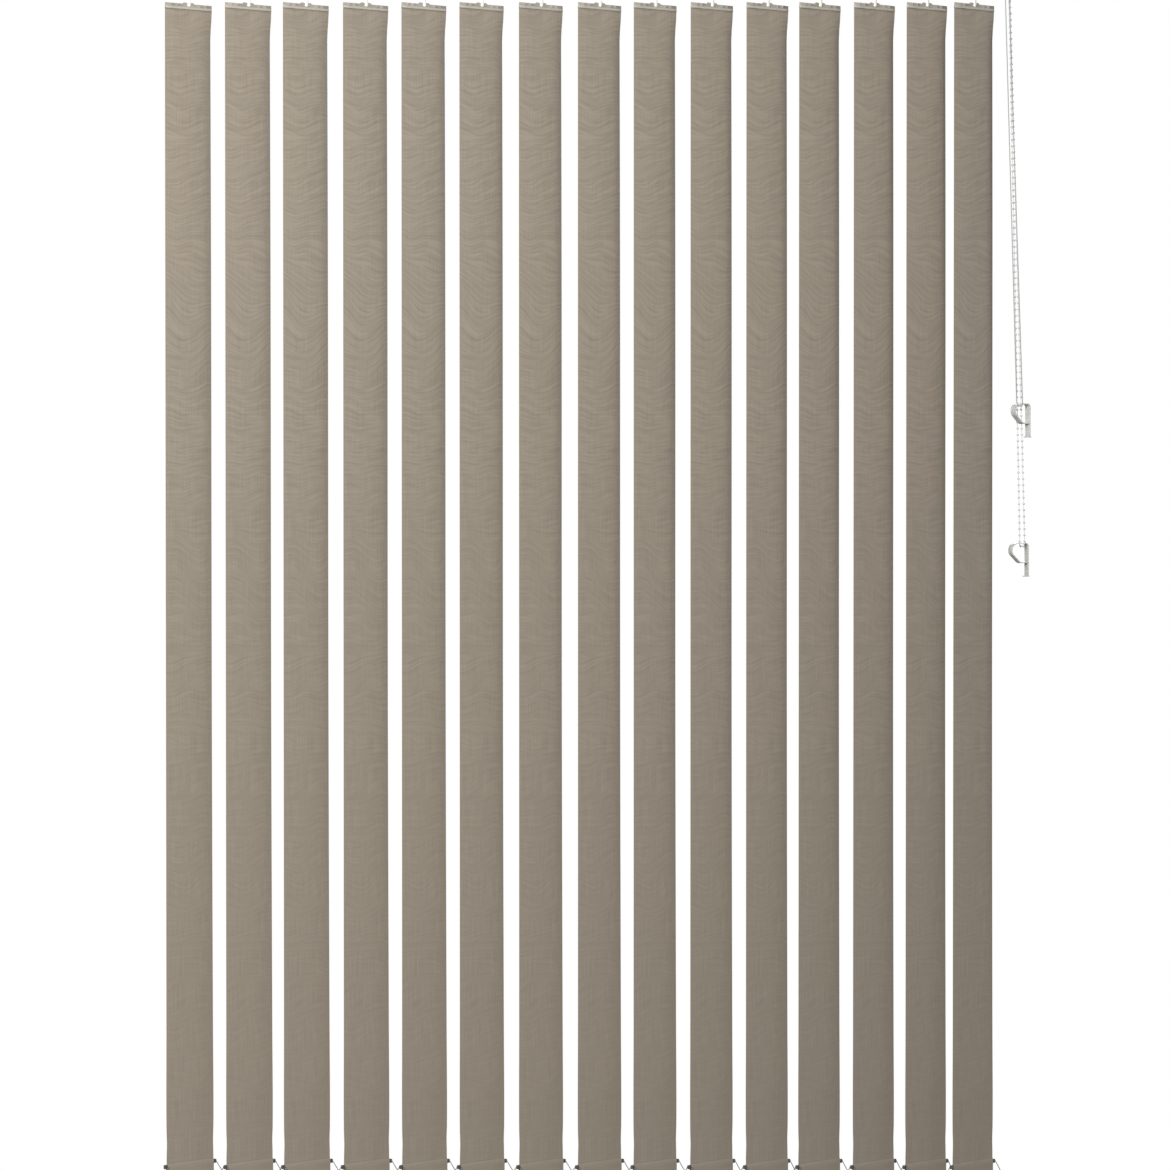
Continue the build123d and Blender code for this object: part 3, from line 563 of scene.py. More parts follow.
@dataclass(frozen=True)
class DrawnMetal(Finish):
    """Rolled or drawn metal: bright streaks along its length, duller where it was handled."""

    dark: str = "#8E9195"
    streak_mm: tuple[float, float, float] = (140.0, 0.5, 0.5)
    handled_mm: float = 22.0

    def pattern(self, tree: Tree, shader: Shader) -> None:
        """Streaks in colour, roughness and relief."""
        shader.inputs["Metallic"].default_value = 1.0
        streaks = self.grain(tree, self.streak_mm)
        handled = self.grain(tree, [self.handled_mm] * 3, detail=2.0)
        self.shade(tree, shader, spread(tree, streaks), self.dark, self.colour)
        rough = spread(tree, handled, to=(self.roughness - 0.08, self.roughness + 0.12))
        tree.links.new(rough, shader.inputs["Roughness"])
        self.relief(tree, shader, streaks, depth_mm=0.01, strength=0.4)


@dataclass(frozen=True)
class BraidedCord(Finish):
    """Braided polyester cord: matt white yarns that cross in small diamonds, coloured mid grey, with painted
    shade in the hollows between them.
    """

    # the colour of the painted shade in the hollows between the yarns
    dark: str = "#6C6D6F"
    length_mm: float = 4856.0
    round_mm: float = 6.28
    yarn_mm: float = 1.6
    lay_degrees: float = 40.0

    def pattern(self, tree: Tree, shader: Shader) -> None:
        """Two sets of yarns that cross the cord at its lay, on the tube's own UV map."""
        uv = add_node(tree, "ShaderNodeUVMap", uv_map="UVMap").outputs["UV"]
        sets = []
        for turn in (self.lay_degrees, -self.lay_degrees):
            laid = mapped(tree, uv, (self.length_mm, self.round_mm, 1.0), math.radians(turn))
            wave = {"Vector": laid, "Scale": 1 / self.yarn_mm * WAVES_PER_UNIT}
            sets.append(add_node(tree, "ShaderNodeTexWave", wave).outputs["Fac"])
        over = maths(tree, "MAXIMUM", *sets)
        # painted shade: darker in the hollows between the yarns
        self.shade(tree, shader, spread(tree, over, 0.3, 1.0), self.dark, self.colour)
        self.relief(tree, shader, over, depth_mm=0.2, strength=0.8)
        shader.inputs["Sheen Weight"].default_value = 0.1


@dataclass(frozen=True)
class PaleFloor(Finish):
    """A matt painted floor, nearly white."""

    dark: str = "#F1F0EE"
    drift_mm: float = 700.0

    def pattern(self, tree: Tree, shader: Shader) -> None:
        """A slow, faint unevenness in the paint."""
        drift = self.grain(tree, [self.drift_mm] * 3, detail=2.0)
        self.shade(tree, shader, spread(tree, drift), self.dark, self.colour)


# Slub polyester cloth, piece-dyed and starched: matt, with uneven wefts, and a painted shadow under the
# hanger's lip.
VANE_CLOTH = WovenVaneCloth("woven_polyester_vane_cloth", "#91897D", 0.86, 1.46)
# Cleared polypropylene, moulded: milky and see-through at its thin edges, with a painted highlight along its
# lip.
HANGER_PLASTIC = HangerPlastic(
    "milky_polypropylene_hanger", "#ACA69E", 0.3, 1.49, dark="#9B948B", see_through=0.08
)
# Acetal, moulded: white, waxy and slightly shiny.
ACETAL = MouldedPlastic("white_acetal_moulding", "#F0EFEA", 0.28, 1.48, dark="#E5E4DE", grain_mm=0.6)
# ABS, moulded with a spark-eroded texture: white and satin.
HOUSING_ABS = MouldedPlastic("white_abs_housing", "#ECEBE6", 0.42, 1.54, dark="#E2E1DB", grain_mm=1.1)
# Polycarbonate strip, bent warm: pale grey and milky, so that light goes through it, with satin faces.
CLIP_STRIP = MouldedPlastic("pale_polycarbonate_clip", "#B8B9BA", 0.4, 1.58, dark="#B0B1B2", milky_mm=4.0)
# Stove-enamelled aluminium extrusion: white with a soft gloss.
RAIL_ENAMEL = EnamelledAluminium("enamelled_aluminium_rail", "#EAE9E5", 0.32, 1.5)
# Zinc-plated spring steel, rolled: grey with a blue cast.
BRACKET_STEEL = DrawnMetal("zinc_plated_spring_steel", "#B8BCC2", 0.34, streak_mm=(0.8, 30.0, 30.0))
# Galvanised mild steel strip: dull grey, spangled.
WEIGHT_STEEL = DrawnMetal("galvanised_steel_weight", "#A9ADB1", 0.42, streak_mm=(9.0, 9.0, 9.0))
# Mill-finish drawn aluminium: bright, streaked along its length.
ROD_ALUMINIUM = DrawnMetal("drawn_aluminium_rod", "#C9CBCE", 0.26)
# Braided polyester cord: white, matt, with painted shade between its yarns.
DRAW_CORD = BraidedCord("braided_polyester_draw_cord", "#A6A7A8", 0.8, 1.46)
# Acetal beads moulded on a polyester string: white, waxy.
BEAD_ACETAL = MouldedPlastic("white_acetal_beads", "#BFC0C1", 0.3, 1.48, dark="#AEAFB0", grain_mm=0.7)
# Nylon, moulded: dark grey and satin.
CLIP_NYLON = MouldedPlastic("dark_grey_nylon_clip", "#4E4D4A", 0.45, 1.53, dark="#43423F", grain_mm=0.8)
# Polystyrene beads moulded on a string: mid grey, shiny.
CHAIN_GREY = MouldedPlastic("grey_polystyrene_chain", "#6C6B67", 0.35, 1.59, dark="#5C5B57", grain_mm=0.8)
# Painted floor: matt, nearly white.
FLOOR_PAINT = PaleFloor("matt_floor_paint", "#F6F5F3", 0.7)


# ---------------------------------------------------------------- cords and chains
@dataclass
class Route:
    """A cord's line: a smooth NURBS spline with given control points, in millimetres."""

    name: str
    points: Sequence[Sequence[float]]
    diameter: float
    sides: int = 8
    resolution: int = 12

    def curve(self) -> bpy.types.Object:
        """The spline as a curve object with no thickness."""
        data = bpy.data.curves.new(self.name, "CURVE")
        data.dimensions = "3D"
        data.resolution_u = self.resolution
        spline = data.splines.new("NURBS")
        spline.points.add(len(self.points) - 1)
        for control, place in zip(spline.points, self.points):
            control.co = (*(Vector(place) * MM), 1.0)
        spline.order_u = 3
        spline.use_endpoint_u = True
        made = bpy.data.objects.new(self.name, data)
        bpy.context.scene.collection.objects.link(made)
        bpy.context.view_layer.update()
        return made

    def line(self, curve: bpy.types.Object) -> list[Vector]:
        """The points that the spline passes through, read from the curve itself."""
        mesh = bpy.data.meshes.new_from_object(curve)
        points = [vertex.co.copy() for vertex in mesh.vertices]
        bpy.data.meshes.remove(mesh)
        return points

    def tube(self, curve: bpy.types.Object, radius: float, line: Sequence[Vector]) -> bpy.types.Object:
        """A round tube along the spline, with its UV map running by length.

        Args:
            curve: the spline.
            radius: the tube's radius in millimetres.
            line: the points that the spline passes through.

        Returns:
            The tube as a mesh.
        """
        curve.data.bevel_depth = radius * MM
        curve.data.bevel_resolution = self.sides // 4
        curve.data.use_fill_caps = True
        bpy.context.view_layer.update()
        mesh = bpy.data.meshes.new_from_object(curve)
        reach = np.concatenate([[0.0], np.cumsum([(b - a).length for a, b in zip(line, line[1:])])])
        reach /= reach[-1]
        layer = mesh.uv_layers[0]
        layer.name = "UVMap"
        pairs = np.zeros(len(mesh.loops) * 2)
        layer.data.foreach_get("uv", pairs)
        pairs = pairs.reshape(-1, 2)
        pairs[:, 0] = np.interp(pairs[:, 0], np.linspace(0.0, 1.0, len(line)), reach)
        layer.data.foreach_set("uv", pairs.ravel())
        mesh.shade_smooth()
        made = bpy.data.objects.new(self.name + "_tube", mesh)
        bpy.context.scene.collection.objects.link(made)
        bpy.data.objects.remove(curve)
        return made

    @staticmethod
    def length(line: Sequence[Vector]) -> float:
        """A line's length in metres."""
        return sum((b - a).length for a, b in zip(line, line[1:]))


@dataclass
class BeadChain:
    """Moulded beads at an even pitch on a thin string."""

    route: Route
    bead: float
    pitch: float
    string: float
    segments: int = 8
    rings: int = 6
    stretched: float = 1.06
    collar: float = 0.94
    collar_from: float = 0.47  # a share of the bead

    def make(self) -> tuple[bpy.types.Object, list[Vector]]:
        """The string and its beads as one mesh.

        Returns:
            The mesh, and the points that it follows.
        """
        curve = self.route.curve()
        line = self.route.line(curve)
        string = self.route.tube(curve, self.string / 2, line)
        pattern = Workpiece(
            self.route.name + "_bead",
            bpy.ops.mesh.primitive_uv_sphere_add,
            segments=self.segments,
            ring_count=self.rings,
            radius=self.bead / 2,
        )
        # a moulded bead is a little longer than it is wide, with a collar where the string enters
        pattern.all(Pick.VERTS).stretch((1.0, 1.0, self.stretched))
        pattern.pick(Pick.VERTS, lambda place, normal: abs(place.z) > self.collar_from * self.bead)
        pattern.stretch((1.0, 1.0, self.collar))
        bead = pattern.close_up(smooth=80)
        steps = max(1, round(self.route.length(line) / (self.pitch * MM)))
        reach = np.concatenate([[0.0], np.cumsum([(b - a).length for a, b in zip(line, line[1:])])])
        beads = []
        for number in range(steps + 1):
            along = reach[-1] * number / steps
            index = min(int(np.searchsorted(reach, along, side="right")) - 1, len(line) - 2)
            share = (along - reach[index]) / max(reach[index + 1] - reach[index], 1e-12)
            place = line[index].lerp(line[index + 1], share)
            aim = (line[index + 1] - line[index]).to_track_quat("Z", "Y").to_matrix().to_4x4()
            beads.append(copy_at(bead, f"{self.route.name}_bead_{number}", Matrix.Translation(place) @ aim))
        discard(bead)
        chain = joined(self.route.name, [string, *beads])
        return chain, line


@dataclass
class ClippedLoop:
    """A loop that hangs from the rail's end and goes under a wall clip's strip."""

    clip: tuple[float, float, float]
    clip_yaw: float
    round_clip: tuple[tuple[float, float], ...]  # from beside the strip to its middle: across it, and above

    def under_clip(self) -> list[tuple[float, float, float]]:
        """The points of the loop down one side of the strip, under it and up the other side."""
        yaw = math.radians(self.clip_yaw)
        x, y, z = self.clip
        down = list(self.round_clip)
        back = [(-across, up) for across, up in reversed(down)]
        return [
            (x + math.sin(yaw) * across, y - math.cos(yaw) * across, z + up) for across, up in down + back
        ]


@dataclass
class DrawCord(ClippedLoop):
    """The cord loop that draws the carriers along the rail.

    It runs from the first carrier round the idler, back along the rail, over the outer drop
    pulley, down to the upper wall clip and up again over the inner pulley to the first carrier.
    """

    clip: tuple[float, float, float] = (811.5, -15.0, -822.1)
    clip_yaw: float = 33.0
    round_clip: tuple[tuple[float, float], ...] = ((9.1, 12), (9.1, -0.6), (6.5, -1.4))
    diameter: float = 2.0
    length: float = 4856.0
    lane_y: float = -10.0
    upper_z: float = -12.0
    lower_z: float = -24.0
    idler_x: float = -823.4
    round_idler: tuple[float, float] = (3.46, 6.93)  # past its middle: level with the lanes, and between
    outer_x: float = 789.5
    inner_x: float = 783.0
    knot_x: float = -773.0
    knot_half: float = 1.5
    lead: float = 12.0  # from a pulley's middle to where the cord straightens

    def build(self) -> None:
        y, top, low, lead = self.lane_y, self.upper_z, self.lower_z, self.lead
        shoulder, turn = self.round_idler
        points = [
            (self.knot_x - self.knot_half, y, low),
            (self.idler_x + lead, y, low),
            (self.idler_x - shoulder, y, low),
            (self.idler_x - turn, y, (top + low) / 2),
            (self.idler_x - shoulder, y, top),
            (self.idler_x + lead, y, top),
            (self.outer_x - lead, y, top),
            (self.outer_x, y, top),
            (self.outer_x + 0.4, y - 0.2, top - lead),
            *self.under_clip(),
            (self.inner_x + 0.4, y, low - lead),
            (self.inner_x, y, low),
            (self.inner_x - lead, y, low),
            (self.knot_x + self.knot_half, y, low),
        ]
        route = Route("draw_cord_loop", points, self.diameter, resolution=14)
        curve = route.curve()
        line = route.line(curve)
        cord = route.tube(curve, self.diameter / 2, line)
        cord.name = cord.data.name = "draw_cord_loop"
        install(cord, DRAW_CORD.material(), "root", ["draw_cord"])


@dataclass
class TiltChain(ClippedLoop):
    """The bead chain that turns the tilt rod: a loop over the chain wheel, held by the lower wall clip."""

    clip: tuple[float, float, float] = (818.5, 9.5, -1089.3)
    clip_yaw: float = 23.0
    round_clip: tuple[tuple[float, float], ...] = ((10.3, 26), (10.3, -1.0), (7.0, -2.2))
    bead: float = 4.4
    pitch: float = 12.0
    string: float = 1.1
    length: float = 2189.4
    wheel: tuple[float, float, float] = (793.5, 9.5, -15.5)
    wheel_radius: float = 7.64
    exit_z: float = -62.0

    def build(self) -> None:
        x, y, z = self.wheel
        radius = self.wheel_radius
        eighth = radius * math.tan(math.radians(22.5))
        points = [
            (x, y, z + radius),
            (x, y - eighth, z + radius),
            (x, y - radius, z + eighth),
            (x, y - radius, z - eighth),
            (x, y - radius, self.exit_z),
            *self.under_clip(),
            (x, y + radius, self.exit_z),
            (x, y + radius, z - eighth),
            (x, y + radius, z + eighth),
            (x, y + eighth, z + radius),
            (x, y, z + radius),
        ]
        route = Route("tilt_chain_loop", points, self.bead, resolution=14)
        chain, line = BeadChain(route, self.bead, self.pitch, self.string, segments=12, rings=8).make()
        install(chain, BEAD_ACETAL.material(), "root", ["tilt_chain"])


@dataclass
class HemChains:
    """The two chains along the hems: one sagging length from each vane's clip to the next."""

    bead: float = 2.2
    pitch: float = 5.0
    string: float = 1.4
    reach: float = 65.8
    clip_z: float = -2273.45
    sag: float = 47.0
    end: float = 4.0
    bows: tuple[tuple[float, float], ...] = ((0.17, 0.58), (0.36, 1.0), (0.64, 1.0), (0.83, 0.58))
    tail: tuple[tuple[float, float], ...] = ((4.0, 0.0), (16.0, -19.0), (23.0, -47.0))
    kept_when_drawn: float = 0.21556

    def points(self, start: float, gap: float, y: float) -> list[tuple[float, float, float]]:
        """The control points of one length, in millimetres; its bows are shares of the gap and the sag."""
        return [
            (start + self.end, y, self.clip_z),
            *((start + share * gap, y, self.clip_z - drop * self.sag) for share, drop in self.bows),
            (start + gap - self.end, y, self.clip_z),
        ]

    def hang(
        self, name: str, points: Sequence[Sequence[float]], row: str
    ) -> None:
        """Build and dress one length, and fix it to its row's body.

        Args:
            name: the length's name.
            points: its control points, in millimetres.
            row: front or rear.
        """
        body = f"bottom_chain_{row}"
        route = Route(name, points, self.bead)
        chain, line = BeadChain(route, self.bead, self.pitch, self.string).make()
        install(chain, CHAIN_GREY.material(), body, [body])
        route.length(line)
        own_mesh(chain)

    def build(self, carriers: Sequence[float]) -> None:
        """Hang every length of both rows, and the free end of the rear one.

        Args:
            carriers: the carriers' places along the rail, in millimetres.
        """
        for side, row in ((-1, "front"), (1, "rear")):
            dx = side * self.reach * math.cos(VANE_ANGLE)
            y = side * self.reach * math.sin(VANE_ANGLE)
            for number, (here, there) in enumerate(zip(carriers, carriers[1:]), start=1):
                points = self.points(here + dx, there - here, y)
                self.hang(f"hem_chain_{row}_{number:02d}", points, row)
        tail = [(carriers[-1] + dx + x, y, self.clip_z + z) for x, z in self.tail]
        self.hang("hem_chain_rear_tail", tail, "rear")


# ---------------------------------------------------------------- vanes
def eased(share: float) -> float:
    """A share kept from 0 to 1, with a soft start and end."""
    share = min(1.0, max(0.0, share))
    return share * share * (3 - 2 * share)


@dataclass
class VaneCloth:
    """One vane's cloth: a starched strip with a pocket at its hem for the weight."""

    width: float = 127.0
    top: float = -64.5
    hem: float = -2304.5
    pocket: float = 36.0
    pocket_half: float = 1.4
    mouth_above: float = 3.0  # where the pocket starts to swell, above its seam
    mouth_over: float = 9.0
    clear: float = 0.1
    close_rows: float = 44.0  # past the pocket, where the rows still lie close
    thickness: float = 0.5
    bow: tuple[float, float] = (1.9, 0.1)  # at the top and at the hem
    curl: tuple[float, float] = (4.6, 0.0)
    curl_from: float = 26.0
    bulge: tuple[float, float, float] = (0.008, 165.0, 70.0)  # share, height above the hem, spread
    waist: tuple[float, float, float] = (0.016, 74.0, 17.0)
    freed: tuple[float, float] = (60.0, 90.0)  # where the hanger's and the weight's hold ends
    ripple: tuple[float, float, float] = (0.7, 310.0, 0.4)  # depth, length, and its middle across the cloth
    across: int = 24
    rows: int = 150
    hem_rows: int = 40

    @property
    def cut(self) -> float:
        """The cloth's cut length, with the turn-up that makes the pocket."""
        return (self.top - self.hem) - 2 * self.pocket_half + math.pi * self.pocket_half + self.pocket

    def down_the_cut(self, share: float) -> float:
        """The distance down the cut for a share of the rows, closer together round the hem."""
        hem_part = self.hem_rows / self.rows
        close = 2 * self.pocket + self.close_rows
        if share < 1 - hem_part:
            return (self.cut - close) * share / (1 - hem_part)
        return self.cut - close + close * (share - 1 + hem_part) / hem_part

    def profile(self, down: float) -> tuple[float, float]:
        """The cloth's offset from the vane's middle plane and its height, for a distance down the cut."""
        half, front = self.pocket_half, (self.top - self.hem) - self.pocket_half
        if down <= front:
            z = self.top - down
            above = z - self.hem
            return -half * eased((self.pocket + self.mouth_above - above) / self.mouth_over), z
        turned = (down - front) / half
        if turned <= math.pi:
            return -half * math.cos(turned), self.hem + half - half * math.sin(turned)
        z = self.hem + half + (turned - math.pi) * half
        above = z - self.hem
        flat = eased((above - self.pocket + self.mouth_over) / self.mouth_over)
        return half + (self.thickness + self.clear - half) * flat, z

    def place(self, across: float, down: float) -> Vector:
        """A point of the cloth in the vane's own frame: X across it, Y through it.

        Args:
            across: from -0.5 at the near edge to 0.5 at the far one.
            down: the distance down the cut, in millimetres.

        Returns:
            The point in millimetres.
        """
        offset, z = self.profile(down)
        above = z - self.hem
        wider, narrower = (
            share * math.exp(-(((above - middle) / spread_mm) ** 2))
            for share, middle, spread_mm in (self.bulge, self.waist)
        )
        x = across * self.width * (1 + wider - narrower)
        # held flat by the hanger and by the weight, bowed and curled between them
        below_hanger, above_weight = self.freed
        off_weight = min(1.0, max(0.0, above - self.pocket) / above_weight)
        free = eased(min(1.0, (self.top - z) / below_hanger) * off_weight)
        lower = (self.top - z) / (self.top - self.hem)
        bow = self.bow[0] + (self.bow[1] - self.bow[0]) * lower
        curl = self.curl[0] + (self.curl[1] - self.curl[0]) * lower
        offset -= free * bow * (1 - (2 * across) ** 2)
        inside = self.width / 2 - x
        if inside < self.curl_from:
            offset += free * curl * (1 - inside / self.curl_from) ** 2
        depth, length, middle = self.ripple
        offset += free * depth * math.sin(z / length) * (middle + across)
        return Vector((x, offset, z))

    def make(self) -> bpy.types.Object:
        """The cloth as a closed thin mesh, with a UV map that follows the cut."""
        cloth = Workpiece(
            "vane_cloth",
            bpy.ops.mesh.primitive_grid_add,
            x_subdivisions=self.across,
            y_subdivisions=self.rows,
            size=1000.0,
        )
        mesh = cloth.obj.data
        downs = {}
        for vertex in mesh.vertices:
            across, share = vertex.co.x, 0.5 - vertex.co.y
            downs[vertex.index] = self.down_the_cut(share)
            vertex.co = self.place(across, downs[vertex.index]) * MM
        layer = mesh.uv_layers[0]
        layer.name = "UVMap"
        for loop in mesh.loops:
            layer.data[loop.index].uv.y = 1 - downs[loop.vertex_index] / self.cut
        cloth.modify("SOLIDIFY", thickness=self.thickness * MM, offset=0.0, use_even_offset=True)
        return cloth.close_up(smooth=60)


@dataclass
class VaneHanger:
    """The moulded hanger along a vane's top: a strip that grips the cloth, with a raised eye for the stem."""

    width: float = 125.0
    cloth_top: float = -64.5
    grip: float = 3.2
    lip: float = 2.8
    web: float = 2.0
    rise: float = 7.0
    hump: float = 9.5
    hump_half: float = 12.0
    hump_slope: float = 4.0
    eye_below_hump: float = 4.2
    eye_height: float = 3.5
    slot_half: float = 5.2
    ribs: tuple[float, float] = (31.0, 46.0)
    rib_half: float = 0.6
    rib_rise: float = 0.35

    def make(self) -> bpy.types.Object:
        """The hanger in one piece."""
        top, bottom = self.cloth_top + self.rise, self.cloth_top - self.grip
        strip = Workpiece("vane_hanger", bpy.ops.mesh.primitive_cube_add, size=1.0)
        strip.all(Pick.VERTS).stretch((self.width, self.web, top - bottom))
        strip.move((0, 0, (top + bottom) / 2))
        # raise the hump over the eye
        foot = self.hump_half + self.hump_slope
        strip.cut_at(0, -foot, -self.hump_half, self.hump_half, foot)
        strip.pick(Pick.VERTS, lambda p, n: abs(p.x) < self.hump_half + 0.1 and p.z > top - 0.1)
        strip.move((0, 0, self.hump - self.rise))
        # the eye that the stem's tooth goes through
        eye_top = self.cloth_top + self.hump - self.eye_below_hump
        eye_foot = eye_top - self.eye_height
        strip.cut_at(0, -self.slot_half, self.slot_half)
        strip.cut_at(2, eye_foot, eye_top)
        strip.open_through(
            lambda p, n: abs(n.y) > 0.9 and abs(p.x) < self.slot_half and eye_foot < p.z < eye_top
        )
        # the lip that grips the cloth stands out from the web, with a rounded edge
        lip_top = self.cloth_top + 1.5
        strip.cut_at(2, lip_top, self.cloth_top + 0.8)
        strip.pick(Pick.VERTS, lambda p, n: p.z < self.cloth_top + 0.9)
        strip.stretch((1.0, self.lip / self.web, 1.0))
        # the slit that the cloth sits in
        strip.pick(Pick.FACES, lambda p, n: n.z < -0.9 and p.z < bottom + 0.1)
        strip.inset(0.9)
        strip.extrude((0, 0, self.grip - 0.3))
        # thin ribs across the web's face, between the eye and the ends
        inner, outer = self.ribs
        for x in (-outer, -inner, inner, outer):
            strip.cut_at(0, x - self.rib_half, x + self.rib_half)
        strip.pick(
            Pick.FACES,
            lambda p, n: abs(n.y) > 0.9
            and p.z > lip_top
            and any(abs(abs(p.x) - x) < 0.5 for x in self.ribs),
        )
        bpy.ops.mesh.extrude_faces_move(TRANSFORM_OT_shrink_fatten={"value": self.rib_rise * MM})
        strip.ease_edges(0.25)
        return strip.close_up()


@dataclass
class TiltStem:
    """The stem that turns a vane: a toothed wheel in the carrier, a shaft with a collar, and a fork below."""

    radius: float = 2.5
    collar_radius: float = 4.5
    collar_top: float = -33.55
    collar_bottom: float = -36.55
    wheel_z: float = -15.5
    wheel_face: float = 6.0
    tip_radius: float = 5.3
    root_radius: float = 3.7
    teeth: int = 10
    fork: float = 6.4
    crotch: float = -54.7
    fork_bottom: float = -62.4
    fork_tip: float = 1.2
    fork_taper: float = 0.62
    tooth_half: float = 0.9
    web: float = 2.3
    tooth_z: float = -60.3

    def wheel(self) -> bpy.types.Object:
        """The toothed wheel, hobbed to mesh with the worm."""
        gear = Workpiece(
            "tilt_wheel",
            bpy.ops.mesh.primitive_cylinder_add,
            vertices=60,
            radius=self.tip_radius,
            depth=self.wheel_face,
            location=(0, 0, self.wheel_z),
        )

        def in_gap(place: Vector, normal: Vector) -> bool:
            """Whether a point of the rim is in a gap between two teeth."""
            return place.xy.length > 1 and math.cos(self.teeth * math.atan2(place.y, place.x)) > 0.3

        share = self.root_radius / self.tip_radius
        gear.pick(Pick.VERTS, in_gap).stretch((share, share, 1.0), (0, 0, self.wheel_z))
        gear.pick(Pick.FACES, lambda p, n: abs(n.z) > 0.9).inset(0.5, depth=-0.4)
        return gear.close_up(smooth=25)

    def shaft(self) -> bpy.types.Object:
        """The shaft and its collar, drawn up from the collar."""
        shaft = Workpiece(
            "stem_shaft",
            bpy.ops.mesh.primitive_cylinder_add,
            vertices=28,
            radius=self.collar_radius,
            depth=self.collar_top - self.collar_bottom,
            location=(0, 0, (self.collar_top + self.collar_bottom) / 2),
        )
        shaft.pick(Pick.FACES, lambda p, n: n.z > 0.9)
        shaft.inset(self.collar_radius - self.radius)
        shaft.extrude((0, 0, self.wheel_z + self.wheel_face / 2 + 1 - self.collar_top))
        shaft.ease_edges(0.25, over=50)
        return shaft.close_up()

    def prongs(self) -> bpy.types.Object:
        """The fork: a block under the collar with two prongs that straddle the hanger's web."""
        crotch = self.crotch
        fork = Workpiece("stem_fork", bpy.ops.mesh.primitive_cube_add, size=1.0)
        fork.all(Pick.VERTS).stretch((self.fork, self.fork, self.collar_bottom - crotch))
        fork.move((0, 0, (self.collar_bottom + crotch) / 2))
        fork.cut_at(1, -self.web / 2, self.web / 2)
        fork.pick(Pick.FACES, lambda p, n: n.z < -0.9 and abs(p.y) > self.web / 2)
        fork.extrude((0, 0, self.fork_bottom + self.fork_tip - crotch))
        fork.extrude((0, 0, -self.fork_tip))
        fork.stretch((self.fork_taper, 1.0, 1.0), (0, 0, self.fork_bottom))
        # the tooth on the front prong, which carries the hanger
        fork.cut_at(2, self.tooth_z - self.tooth_half, self.tooth_z + self.tooth_half)
        fork.pick(
            Pick.FACES,
            lambda p, n: n.y > 0.9 and abs(p.y + self.web / 2) < 0.1 and abs(p.z - self.tooth_z) < 0.8,
        )
        fork.extrude((0, self.web - 0.3, 0))
        # hollows in the block's sides, as moulders core a thick place out
        fork.pick(Pick.FACES, lambda p, n: abs(n.x) > 0.9 and p.z > crotch and abs(p.y) < self.web / 2)
        fork.inset(0.35, depth=-0.8)
        fork.ease_edges(0.22, over=40)
        return fork.close_up()

    def make(self) -> bpy.types.Object:
        """The whole stem."""
        return joined("tilt_stem", [self.shaft(), self.prongs(), self.wheel()])


@dataclass
class HemWeight:
    """The steel strip in the pocket, and the nylon clips on its two ends."""

    width: float = 120.0
    height: float = 32.0
    thickness: float = 2.2
    bottom: float = -2303.95
    clip_half: float = 69.9
    cloth_half: float = 63.5
    clip_height: float = 7.6
    clip_thickness: float = 4.2
    tongue_half: float = 0.9
    tongue: tuple[float, float] = (-2.5, -0.2)  # its foot and top, from the clip's middle
    seat_depth: float = 1.3
    jaw_round: float = 1.3
    corner: float = 3.0

    def strip(self) -> bpy.types.Object:
        """The weight, with rounded corners and eased edges."""
        middle = self.bottom + self.height / 2
        strip = Workpiece("hem_weight", bpy.ops.mesh.primitive_cube_add, size=1.0)
        strip.all(Pick.VERTS).stretch((self.width, self.thickness, self.height)).move((0, 0, middle))
        strip.pick(Pick.EDGES, lambda p, n: abs(n.y) > 0.9)
        bpy.ops.mesh.bevel(offset=self.corner * MM, segments=4, affect="EDGES")
        strip.ease_edges(0.2)
        return strip.close_up()

    def clip(self, side: int) -> bpy.types.Object:
        """One end clip: a tongue in the pocket, and a knob with a seat for the chain's bead.

        Args:
            side: -1 for the near edge of the vane, 1 for the far one.

        Returns:
            The clip.
        """
        middle = self.bottom + self.height + 2 - self.clip_height / 2
        inner, outer = self.cloth_half + 0.1, self.clip_half
        knob = Workpiece("chain_clip", bpy.ops.mesh.primitive_cube_add, size=1.0)
        knob.all(Pick.VERTS).stretch((outer - inner, self.clip_thickness, self.clip_height))
        knob.move(((outer + inner) / 2, 0, middle))
        # the tongue goes back into the pocket beside the weight
        foot, top = (middle + part for part in self.tongue)
        knob.cut_at(2, foot, top)
        knob.cut_at(1, -self.tongue_half, self.tongue_half)

        def on_end(way: int) -> Test:
            """A test for the tongue's patch on the near end, -1, or the outer end, 1."""
            return lambda p, n: n.x * way > 0.9 and abs(p.y) < self.tongue_half and foot < p.z < top

        knob.pick(Pick.FACES, on_end(-1))
        knob.extrude((-(inner - self.width / 2) + 0.1, 0, 0))
        # the outer face is cupped where the bead sits, between two jaws
        knob.pick(Pick.FACES, on_end(1))
        knob.inset(0.25, depth=0.0)
        knob.extrude((-self.seat_depth, 0, 0))
        knob.pick(Pick.EDGES, lambda p, n: abs(n.y) > 0.9 and p.x > outer - 0.1 and abs(p.z - middle) > 3)
        bpy.ops.mesh.bevel(offset=self.jaw_round * MM, segments=4, affect="EDGES")
        knob.ease_edges(0.2, over=50)
        if side < 0:
            knob.all(Pick.VERTS).stretch((-1.0, 1.0, 1.0))
        return knob.close_up()


